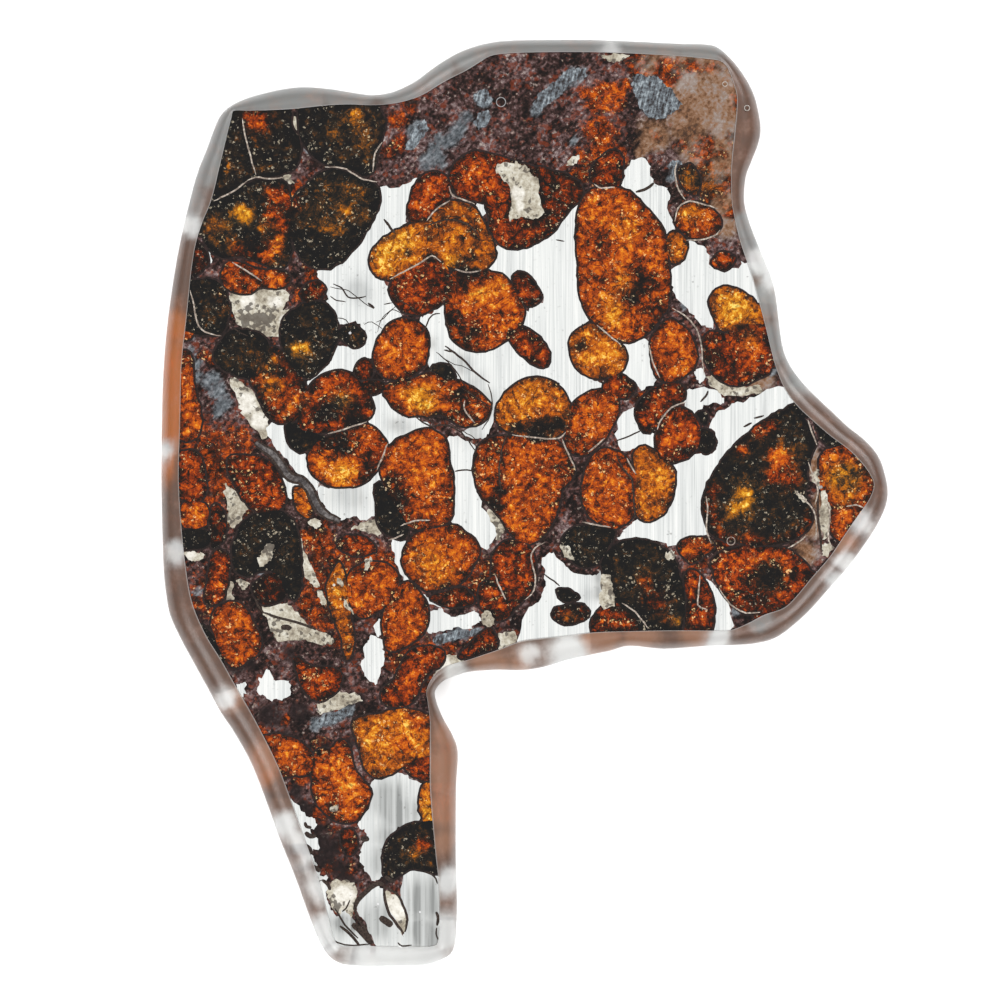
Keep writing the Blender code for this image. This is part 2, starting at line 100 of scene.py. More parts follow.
def matched(loop, other):
    """The other loop, turned so that its points lie beside the loop's."""
    def apart(turn):
        return sum((point - other[(index + turn) % len(other)]).length for index, point in enumerate(loop))
    turn = min(range(len(other)), key=apart)
    return other[turn:] + other[:turn]


def smoothed(loop, steps):
    """Points along the smooth closed curve through these, this many to each stretch."""
    fine = []
    count = len(loop)
    for index, start in enumerate(loop):
        end = loop[(index + 1) % count]
        leaving = start + (end - loop[index - 1]) / 6
        arriving = end - (loop[(index + 2) % count] - start) / 6
        fine += geometry.interpolate_bezier(start, leaving, arriving, end, steps + 1)[:-1]
    return fine


def shifted(loop, distance):
    """The loop with every point moved outward."""
    count = len(loop)
    moved = []
    for index, point in enumerate(loop):
        along = (loop[(index + 1) % count] - loop[index - 1]).normalized()
        moved.append(point + Vector((along.y, -along.x, 0)) * distance)
    return moved


border = shifted(smoothed(loops_at("resin_edge", FACE_HEIGHT)[0], BORDER_STEPS), -RING_GAP)
foot_loop = smoothed(loops_at("resin_edge", 0)[1], BORDER_STEPS)
foot = matched(border, shifted(foot_loop, -RING_GAP))
widest = matched(border, smoothed(loops_at("resin_edge", WIDEST_SHARE * FACE_HEIGHT)[0], BORDER_STEPS))

# The pale veins
# Hair-thin seams of pale mineral healed the cracks where crystals touch. They are level with the polish and
# run down through the slice. Like all that follows, they are drawn on a sheet in tenths of a millimetre.
MM = 0.001
UNIT = 0.0001
SHEET_CENTRE_X = 524.5
SHEET_CENTRE_Y = 502.8
WAVES = 1400
LIFT = Vector((0, 0, 9))
VEIN_WIDTH = 1.5
RIBBON_STEPS = 4
RIBBON_SWAY = 0.00008
NARROWING_RATE = 5
VEINS = [
    [(242, 118), (245, 135), (250, 155), (256, 175)], [(213, 201), (226, 195), (237, 189), (248, 180)],
    [(248, 180), (256, 177), (268, 179), (284, 177)],
    [(325, 167), (343, 168), (352, 173), (364, 179), (377, 182)],
    [(382, 142), (375, 153), (373, 172)], [(232, 262), (248, 272), (262, 281)],
    [(190, 290), (194, 305), (197, 322), (205, 332), (221, 336)],
    [(449, 186), (453, 196), (465, 200), (475, 204)], [(427, 221), (437, 208), (450, 201)],
    [(390, 279), (405, 271), (420, 263), (432, 256), (441, 262)], [(455, 269), (466, 272), (480, 271)],
    [(594, 184), (602, 188), (615, 187)], [(597, 325), (608, 334), (621, 345)],
    [(328, 434), (345, 429), (367, 422)], [(388, 443), (382, 458), (377, 470)],
    [(512, 435), (530, 437), (555, 439), (562, 436), (566, 432)], [(562, 439), (568, 453), (576, 470)],
    [(605, 438), (596, 446), (588, 452)], [(657, 430), (661, 420), (672, 407), (686, 402)],
    [(627, 458), (631, 466), (636, 474)], [(583, 522), (596, 525), (611, 527)],
    [(465, 400), (464, 408), (470, 417), (475, 423)], [(495, 575), (500, 588), (506, 600)],
    [(545, 542), (535, 548), (531, 558), (535, 575), (534, 590), (525, 600)],
    [(700, 575), (699, 590), (698, 605), (708, 610)], [(622, 603), (635, 612), (648, 628)],
    [(808, 420), (812, 432), (817, 445)], [(846, 506), (856, 505), (864, 508)],
    [(796, 490), (805, 500), (812, 508), (816, 520), (816, 540)],
    [(706, 496), (708, 512), (706, 530), (712, 544)],
    [(672, 308), (684, 315), (694, 325), (700, 338), (702, 355), (704, 375)],
    [(649, 345), (653, 362), (660, 378)], [(675, 222), (678, 208), (690, 201), (705, 205), (718, 209)],
    [(677, 162), (675, 175), (679, 190), (686, 200)], [(686, 240), (700, 240), (714, 236), (720, 230)],
    [(719, 588), (730, 604), (746, 613), (760, 612)], [(788, 548), (800, 541), (806, 536)],
    [(808, 462), (813, 476), (818, 490), (815, 505)], [(826, 500), (830, 515), (828, 535), (832, 548)],
    [(400, 526), (415, 521), (430, 520)], [(404, 534), (396, 538), (388, 540)],
]
plans = []


def place(x, y):
    """A point of the drawing sheet, in metres on the slice."""
    return Vector(((x - SHEET_CENTRE_X) * UNIT, (SHEET_CENTRE_Y - y) * UNIT, 0))


def push(point, waves):
    """A small steady push for this point, which changes smoothly from place to place."""
    return Vector((noise.noise(point * waves), noise.noise(point * waves + LIFT), 0))


def wavy(loop, sway, waves=WAVES):
    """The loop with a slight natural waver."""
    return [point + push(point, waves) * sway for point in loop]


def ribbon(points, width, taper=0.35):
    """A closed strip along these sheet points, narrowing towards both ends."""
    line = [place(x, y) for x, y in points]
    fine = []
    for index in range(len(line) - 1):
        start, end = line[index], line[index + 1]
        before = line[max(index - 1, 0)]
        after = line[min(index + 2, len(line) - 1)]
        fine += geometry.interpolate_bezier(start, start + (end - before) / 6, end - (after - start) / 6,
                                            end, RIBBON_STEPS)[:-1]
    fine = wavy(fine + [line[-1]], RIBBON_SWAY)
    left = []
    right = []
    for index, point in enumerate(fine):
        along = (fine[min(index + 1, len(fine) - 1)] - fine[max(index - 1, 0)]).normalized()
        end_share = min(index, len(fine) - 1 - index) / (len(fine) - 1)
        half = width * UNIT * 0.5 * (taper + (1 - taper) * min(1, end_share * NARROWING_RATE))
        across = Vector((-along.y, along.x, 0)) * half
        left.append(point + across)
        right.append(point - across)
    return right + left[::-1]


def plan(name, outlines, finish, slot, drop, marks=None, replaces=None):
    """Notes a piece to cut from the slice. Where outlines overlap, the one noted first has the ground."""
    plans.append({"name": name, "outlines": outlines, "finish": finish, "slot": slot, "drop": drop,
                  "marks": marks or {}, "replaces": replaces})


class Value:
    """A socket in a material's node tree. Arithmetic on it adds Math nodes."""

    def __init__(self, socket):
        self.socket = socket

    def make(self, kind, settings, sockets, output=0):
        """The output of a new node of this kind, with these settings and these values or links."""
        node = self.socket.id_data.nodes.new(kind)
        for setting, choice in settings.items():
            setattr(node, setting, choice)
        for key, value in sockets.items():
            join(node.inputs[key], value)
        return Value(node.outputs[output])

    def __add__(self, other):
        return self.make("ShaderNodeMath", {"operation": "ADD"}, {0: self, 1: other})

    def __sub__(self, other):
        return self.make("ShaderNodeMath", {"operation": "SUBTRACT"}, {0: self, 1: other})

    def __mul__(self, other):
        return self.make("ShaderNodeMath", {"operation": "MULTIPLY"}, {0: self, 1: other})

    def __rsub__(self, other):
        return self.make("ShaderNodeMath", {"operation": "SUBTRACT"}, {0: other, 1: self})


def join(socket, value):
    """Links the value to the socket, or sets the socket to it where it is a plain one."""
    if isinstance(value, Value):
        socket.id_data.links.new(value.socket, socket)
    else:
        socket.default_value = value


def start_material(name):
    """A new material's Principled shader, and the place on the piece in millimetres."""
    material = bpy.data.materials.new(name)
    material.use_nodes = True
    shader = material.node_tree.nodes["Principled BSDF"]
    metres = Value(shader.outputs[0]).make("ShaderNodeTexCoord", {}, {}, "Object")
    millimetres = metres.make("ShaderNodeVectorMath", {"operation": "SCALE"}, {0: metres, 3: 1 / MM})
    return material, shader, millimetres


def paint(shader, looks):
    """Gives the shader these looks."""
    for key, value in looks.items():
        join(shader.inputs[key], value)


def cloud(where, scale, detail=4.0, roughness=0.55, stretch=(1, 1, 1)):
    """Soft noise around zero, this many bumps to a millimetre."""
    moved = where.make("ShaderNodeMapping", {}, {"Vector": where, "Scale": stretch})
    return where.make("ShaderNodeTexNoise", {},
                      {"Vector": moved, "Scale": scale, "Detail": detail, "Roughness": roughness}) - 0.5


def ramp(value, stops):
    """The colour that the value picks from these (position, colour) stops."""
    made = value.make("ShaderNodeValToRGB", {}, {"Fac": value})
    elements = made.socket.node.color_ramp.elements
    while len(elements) < len(stops):
        elements.new(0.5)
    for element, (position, colour) in zip(elements, stops):
        element.position = position
        element.color = (*colour, 1)
    return made


def relief(where, height, strength, distance):
    """A bump of the surface that follows this height."""
    return where.make("ShaderNodeBump", {}, {"Height": height, "Strength": strength, "Distance": distance})


vein_finish, shader, where = start_material("pale_vein")
vein_grain = cloud(where, 4.0)
paint(shader, {"Roughness": 0.4, "Normal": relief(where, vein_grain, 0.2, 0.00003),
               "Base Color": ramp(vein_grain + 0.5, [
                   (0.3, (0.06, 0.045, 0.035)), (0.5, (0.19, 0.15, 0.12)), (0.7, (0.38, 0.34, 0.29))])})
plan("pale_veins", [ribbon(points, VEIN_WIDTH) for points in VEINS], vein_finish, "metal", drop=0.01 * MM)

# The dark cracks
# Rust has crept along cracks in the metal and left them dark and a little sunk. Each crack has its own width
# and goes down through the slice.
CRACK_TAPER = 0.5
CRACKS = [
    (1.6, [(333, 284), (342, 288), (348, 297), (357, 298), (366, 296)]),
    (2.2, [(445, 346), (455, 353), (465, 362), (478, 375), (490, 383)]),
    (1.6, [(412, 414), (420, 420), (430, 426), (445, 425), (458, 430), (468, 440), (476, 452)]),
    (1.5, [(420, 332), (425, 328), (432, 315), (440, 314)]), (1.6, [(455, 471), (463, 470), (475, 471)]),
    (1.6, [(615, 441), (630, 436), (642, 430)]), (2.6, [(818, 490), (818, 515), (820, 535), (821, 550)]),
    (5.0, [(384, 884), (377, 884), (368, 890), (358, 900), (354, 910)]),
    (2.6, [(354, 908), (358, 918), (366, 930), (372, 942)]), (2.0, [(335, 908), (345, 925), (358, 938)]),
    (3.0, [(384, 886), (385, 900), (390, 915), (398, 926), (404, 934)]),
    (2.6, [(384, 886), (396, 893), (403, 905), (407, 920), (405, 932)]),
    (7.0, [(352, 924), (362, 932), (372, 944)]), (7.0, [(380, 917), (387, 922), (392, 926)]),
    (2.2, [(384, 219), (389, 226)]), (2.6, [(387, 222), (392, 230), (395, 232)]),
    (2.4, [(368, 303), (374, 308)]), (1.8, [(444, 350), (452, 352)]),
    (3.0, [(436, 912), (438, 918), (437, 926)]),
    (1.6, [(437, 928), (436, 934), (438, 940)]),
    (2.2, [(744, 427), (752, 423)]), (2.0, [(754, 418), (764, 416)]),
    (2.6, [(262, 612), (280, 618), (302, 624), (316, 630)]), (2.2, [(255, 598), (258, 606), (264, 613)]),
    (5.5, [(281, 628), (287, 627), (291, 629)]), (1.6, [(544, 574), (554, 581), (560, 586)]),
    (1.8, [(508, 432), (503, 445), (500, 460), (499, 480), (502, 492)]),
    (2.0, [(616, 455), (624, 470), (632, 480), (634, 500), (635, 518)]),
    (3.0, [(636, 192), (648, 188), (654, 183)]), (2.2, [(700, 402), (706, 396), (708, 391)]),
    (1.8, [(427, 226), (440, 221), (455, 220), (470, 226), (480, 238)]),
    (3.0, [(340, 926), (350, 934), (360, 946)]),
    (0.9, [(330, 287), (340, 289), (349, 291), (364, 303), (374, 309)]),
    (0.9, [(376, 322), (384, 318), (392, 310), (402, 313), (412, 316)]),
    (0.8, [(364, 325), (372, 322), (386, 332)]),
    (0.8, [(398, 302), (394, 308), (386, 314), (380, 322), (378, 332)]),
    (0.8, [(424, 418), (434, 423), (444, 426)]),
    (0.9, [(447, 422), (456, 427), (464, 432), (474, 438), (479, 450)]),
    (0.8, [(440, 356), (452, 363), (462, 366), (474, 372), (484, 380)]),
    (1.2, [(462, 388), (474, 396), (486, 404), (492, 408)]),
    (1.2, [(436, 352), (448, 362), (458, 374), (466, 388)]),
    (1.2, [(488, 384), (492, 398), (491, 414), (482, 430)]),
    (1.0, [(394, 290), (398, 300), (410, 306), (416, 316)]),
    (1.0, [(352, 330), (346, 320), (336, 318)]), (1.2, [(300, 880), (310, 884), (322, 880)]),
    (1.4, [(556, 240), (564, 241)]), (1.2, [(384, 304), (392, 303)]),
    (1.6, [(326, 936), (345, 945), (372, 944)]),
    (1.6, [(398, 942), (402, 946), (412, 945)]), (1.8, [(424, 872), (434, 876), (437, 884)]),
    (5.0, [(305, 845), (309, 849), (311, 855)]), (5.0, [(305, 832), (310, 836), (316, 835)]),
    (3.4, [(305, 822), (307, 826), (312, 828)]), (4.6, [(311, 866), (316, 868), (320, 872)]),
    (3.6, [(322, 880), (328, 884), (330, 890)]), (2.2, [(299, 838), (303, 841)]),
    (5.5, [(361, 838), (365, 839), (369, 838)]), (4.0, [(385, 876), (390, 880), (395, 881)]),
    (1.6, [(350, 900), (346, 908), (342, 912)]), (1.4, [(314, 900), (318, 910), (324, 916)]),
    (1.4, [(226, 322), (236, 330), (248, 336)]), (1.2, [(330, 296), (336, 300), (346, 302)]),
]
crack_finish, shader, where = start_material("dark_crack")
crack_grain = cloud(where, 5.0)
paint(shader, {"Roughness": 0.75, "Specular IOR Level": 0.1,
               "Normal": relief(where, crack_grain, 0.4, 0.00004),
               "Base Color": ramp(crack_grain + 0.5, [
                   (0.3, (0.006, 0.004, 0.004)), (0.7, (0.04, 0.028, 0.022))])})
plan("dark_cracks", [ribbon(points, width, CRACK_TAPER) for width, points in CRACKS], crack_finish, "metal",
     drop=0.05 * MM)

# The grey cord
# One band of rough grey oxide winds between two strips of metal, with a dark seam along both its sides. The
# seams are one wider strip, noted after the cord, which leaves it the two sides.
CORD_WIDTH = 5.4
CORD_TAPER = 0.5
SEAM_WIDTH = 10.5
SEAM_TAPER = 0.6
CORD_LINE = [(256, 442), (264, 449), (272, 453), (280, 463), (290, 477), (301, 480), (309, 488),
             (314, 500), (321, 511), (330, 517), (340, 521)]
cord_finish, shader, where = start_material("grey_cord")
cord_grain = cloud(where, 3.0, 5.0, 0.7)
paint(shader, {"Roughness": 0.6, "Specular IOR Level": 0.15,
               "Normal": relief(where, cord_grain, 0.4, 0.00005),
               "Base Color": ramp(cord_grain + cloud(where, 0.8) * 0.6 + 0.5, [
                   (0.3, (0.010, 0.008, 0.008)), (0.5, (0.044, 0.038, 0.037)), (0.72, (0.13, 0.12, 0.115))])})
plan("grey_cord", [ribbon(CORD_LINE, CORD_WIDTH, CORD_TAPER)], cord_finish, "metal", drop=0.02 * MM)
plan("cord_seams", [ribbon(CORD_LINE, SEAM_WIDTH, SEAM_TAPER)], crack_finish, "metal", drop=0.04 * MM)

# The pale grains in the crystals
# A few weathered grains sit inside or between crystals, cream to tan, specked with rust and duller polished.
# They have ragged borders and go down through the slice.
PATCH_STEPS = 6
PATCH_SWAY = 0.00028
RAGGED_SWAY = 0.00026
FINE_WAVES = 4200
SPOT_WARP = 7 * UNIT
SPOT_WAVES = 420
SPOT_PEAK = 1.4
SPOT_FALL = 1.3
SPOT_END = 2
PALE_GRAINS = [
    [(496, 166), (512, 162), (524, 164), (530, 172), (538, 180), (540, 200), (542, 214), (530, 219),
     (520, 217), (511, 221), (509, 212), (512, 198), (508, 184), (500, 176)],
    [(258, 560), (262, 551), (267, 544), (274, 545), (272, 555), (268, 562), (261, 567)],
    [(602, 575), (610, 575), (614, 588), (616, 600), (606, 608), (599, 602), (600, 588)],
    [(560, 545), (568, 545), (574, 560), (566, 558)], [(482, 613), (490, 613), (494, 624), (484, 626)],
    [(816, 470), (820, 480), (817, 488), (813, 478)],
    [(822, 492), (829, 500), (830, 520), (824, 540), (820, 520)],
    [(796, 490), (800, 492), (806, 500), (802, 501)], [(346, 756), (350, 755), (350, 760), (346, 761)],
    [(332, 806), (338, 806), (336, 812), (330, 811)], [(666, 552), (674, 551), (676, 558), (668, 560)],
    [(366, 560), (370, 558), (369, 567), (365, 570)], [(318, 590), (324, 596), (326, 606), (320, 602)],
    [(343, 600), (348, 603), (352, 614), (346, 608)], [(337, 580), (341, 580), (342, 585), (338, 585)],
]


def patch(points):
    """The smooth outline through these sheet points, with a natural waver."""
    smooth = smoothed(turned_left([place(x, y) for x, y in points]), PATCH_STEPS)
    return wavy(wavy(smooth, PATCH_SWAY), RAGGED_SWAY, FINE_WAVES)


def warped(point):
    """The point moved a little this way and that, which makes round spots uneven."""
    return point + push(point, SPOT_WAVES) * SPOT_WARP


def nearness(point, x, y, reach):
    """1 in the middle of the spot, fading to 0 well beyond its reach."""
    distance = (point - place(x, y)).length / (reach * UNIT)
    return min(1, SPOT_PEAK * math.exp(-SPOT_FALL * distance * distance)) if distance < SPOT_END else 0


def spotted(spots):
    """A mark that is 1 in the middle of each spot and 0 away from them all."""
    def measure(point, depth):
        uneven = warped(point)
        return max(nearness(uneven, *spot) for spot in spots)
    return measure


def mark(where, name):
    """The value painted on the mesh under this name."""
    return where.make("ShaderNodeAttribute", {"attribute_name": name}, {}, "Fac")


def grains(where, scale):
    """Angular grains, this many to a millimetre, each with its own value from 0 to 1."""
    cells = where.make("ShaderNodeTexVoronoi", {}, {"Vector": where, "Scale": scale}, "Color")
    return where.make("ShaderNodeSeparateColor", {}, {"Color": cells})


def stepped(value, low, high):
    """0 up to low, 1 from high on, and smooth between."""
    return value.make("ShaderNodeMapRange", {"interpolation_type": "SMOOTHSTEP"},
                      {"Value": value, "From Min": low, "From Max": high})


def blend(share, first, second):
    """From the first colour at 0 to the second at 1."""
    colours = [(*one, 1) if isinstance(one, tuple) else one for one in (first, second)]
    return share.make("ShaderNodeMix", {"data_type": "RGBA"}, {0: share, 6: colours[0], 7: colours[1]}, 2)


pale_finish, shader, where = start_material("pale_mineral")
pale_grain = cloud(where, 2.2, 6.0, 0.7)
pale_specks = stepped(grains(where, 3.0) + cloud(where, 1.0) * 1.4 + mark(where, "specked") * 0.75
                      - mark(where, "clean") * 0.25, 0.80, 0.92)
pale_tint = ramp(pale_grain + cloud(where, 0.3) * 0.8 + 0.5, [
    (0.25, (0.06, 0.046, 0.032)), (0.42, (0.17, 0.145, 0.105)), (0.55, (0.28, 0.255, 0.20)),
    (0.78, (0.44, 0.43, 0.38))])
pale_clean = ramp(pale_grain + 0.5, [
    (0.2, (0.20, 0.18, 0.15)), (0.45, (0.42, 0.40, 0.355)), (0.7, (0.54, 0.525, 0.49))])
pale_base = blend(stepped(mark(where, "clean") + cloud(where, 1.2) * 0.6, 0.2, 0.8) * 0.85,
                  pale_tint, pale_clean)
paint(shader, {"Roughness": 0.45, "Base Color": blend(pale_specks * 0.85, pale_base, (0.035, 0.026, 0.018)),
               "Normal": relief(where, pale_grain, 0.25, 0.00004)})
pale_marks = {"specked": spotted([(252, 320, 12), (266, 322, 9), (240, 316, 7), (268, 545, 8),
                                  (334, 905, 6)]),
              "clean": spotted([(517, 196, 9), (519, 208, 6), (246, 402, 12), (258, 422, 10), (344, 896, 13),
                                (396, 910, 14), (250, 300, 9), (276, 300, 8), (285, 322, 7),
                                (444, 666, 9), (192, 556, 6)])}
plan("pale_grains", [patch(points) for points in PALE_GRAINS], pale_finish, "metal", drop=0.02 * MM,
     marks=pale_marks)

# The olivine crystals
# Olivine grew as rounded crystals up to ten millimetres across, set right through the metal. The larger ones
# follow their solids; the smaller ones, which the solids leave to the metal, are drawn here with their tone.
GROWN = 2.6 * UNIT
EDGE_NEAR = 3 * UNIT
WELL_OUT = 40 * UNIT
SMALL_STEPS = 5
LARGE_STEPS = 3
OUTLINE_SWAY = 0.00016
CHIPPED_SWAY = 0.00007
CRYSTAL_DROP = 0.015 * MM
SLOT_TONES = {"olivine_gold": 0.68, "olivine_orange": 0.6, "olivine_red": 0.47, "olivine_dark": 0.12}
SLOT_GOLDS = {"olivine_gold": 0.45, "olivine_orange": 0.1, "olivine_red": 0.0, "olivine_dark": 0.8}
SMALL_CRYSTALS = {
    "edge_sliver": (0.3, [(190, 242), (202, 246), (208, 262), (200, 272), (190, 277)]),
    "bead_north_west": (0.5, [(309, 283), (318, 281), (326, 290), (320, 298), (306, 302), (301, 293)]),
    "left_top_orange": (0.62, [(184, 315), (193, 315), (196, 328), (190, 339), (184, 339)]),
    "left_low_orange": (0.62, [(183, 503), (205, 504), (208, 518), (203, 527), (183, 526)]),
    "left_black": (0.04, [(182, 531), (208, 531), (210, 541), (200, 549), (182, 547)]),
    "brown_strip": (0.38, [(213, 505), (223, 510), (226, 534), (219, 546), (211, 546), (210, 525)]),
    "small_gold": (0.72, [(294, 488), (303, 490), (311, 506), (311, 517), (303, 516), (295, 506)]),
    "speckled": (0.5, [(212, 556), (222, 549), (230, 562), (226, 590), (220, 602), (206, 603), (207, 580)]),
    "maroon": (0.33, [(252, 588), (264, 576), (277, 573), (287, 585), (282, 600), (262, 604)]),
    "edge_black": (0.04, [(199, 624), (212, 634), (224, 652), (222, 663), (210, 650)]),
    "small_right": (0.34, [(512, 277), (524, 273), (534, 283), (541, 298), (530, 306), (519, 298)]),
    "bead_top": (0.5, [(603, 388), (614, 375), (628, 378), (635, 388), (626, 398), (610, 396)]),
    "dark_bead": (0.12, [(701, 431), (710, 431), (716, 443), (708, 453), (699, 448)]),
    "dark_dot": (0.1, [(697, 413), (708, 414), (705, 425)]),
    "bead_left": (0.42, [(355, 368), (364, 359), (373, 366), (370, 378), (358, 379)]),
    "link": (0.42, [(361, 384), (374, 380), (386, 386), (372, 394)]),
    "dark_knob": (0.2, [(345, 327), (354, 325), (361, 329), (365, 337), (363, 344), (355, 347), (347, 344),
                        (342, 340), (337, 337), (338, 331)]),
    "black_round": (0.06, [(286, 425), (300, 424), (316, 434), (325, 438), (318, 446), (303, 452),
                           (290, 445)]),
    "dark_bump": (0.26, [(430, 370), (438, 364), (450, 367), (455, 378), (446, 380), (436, 373)]),
    "lower_strip": (0.45, [(430, 598), (450, 590), (464, 588), (474, 600), (466, 606), (446, 606)]),
    "oval_red": (0.52, [(337, 543), (350, 535), (366, 538), (376, 551), (352, 555)]),
    "flame": (0.66, [(328, 598), (328, 580), (340, 563), (346, 580), (350, 612), (354, 640), (347, 660),
                     (341, 636), (332, 614)]),
    "low_red_drop": (0.42, [(478, 636), (490, 628), (498, 645), (484, 652), (466, 658), (459, 655)]),
    "tail_small": (0.5, [(404, 765), (420, 758), (432, 758), (432, 779), (414, 777)]),
    "tail_gold": (0.82, [(422, 786), (433, 785), (435, 808), (435, 820), (424, 822), (419, 806)]),
    "tail_red": (0.5, [(341, 832), (352, 830), (357, 843), (352, 855), (343, 850)]),
    "dark_sliver": (0.1, [(814, 421), (823, 431), (842, 444), (834, 447), (823, 441)]),
    "low_small": (0.58, [(678, 546), (694, 537), (712, 541), (712, 549), (700, 559), (690, 563)]),
    "twin_upper": (0.14, [(557, 591), (568, 589), (579, 598), (563, 601)]),
    "twin_lower": (0.3, [(553, 612), (564, 606), (584, 605), (588, 616), (572, 624), (556, 621)]),
    "top_gold": (0.52, [(678, 172), (690, 164), (699, 178), (698, 194), (686, 190)]),
    "top_small": (0.5, [(712, 262), (722, 252), (735, 259), (724, 271)]),
}

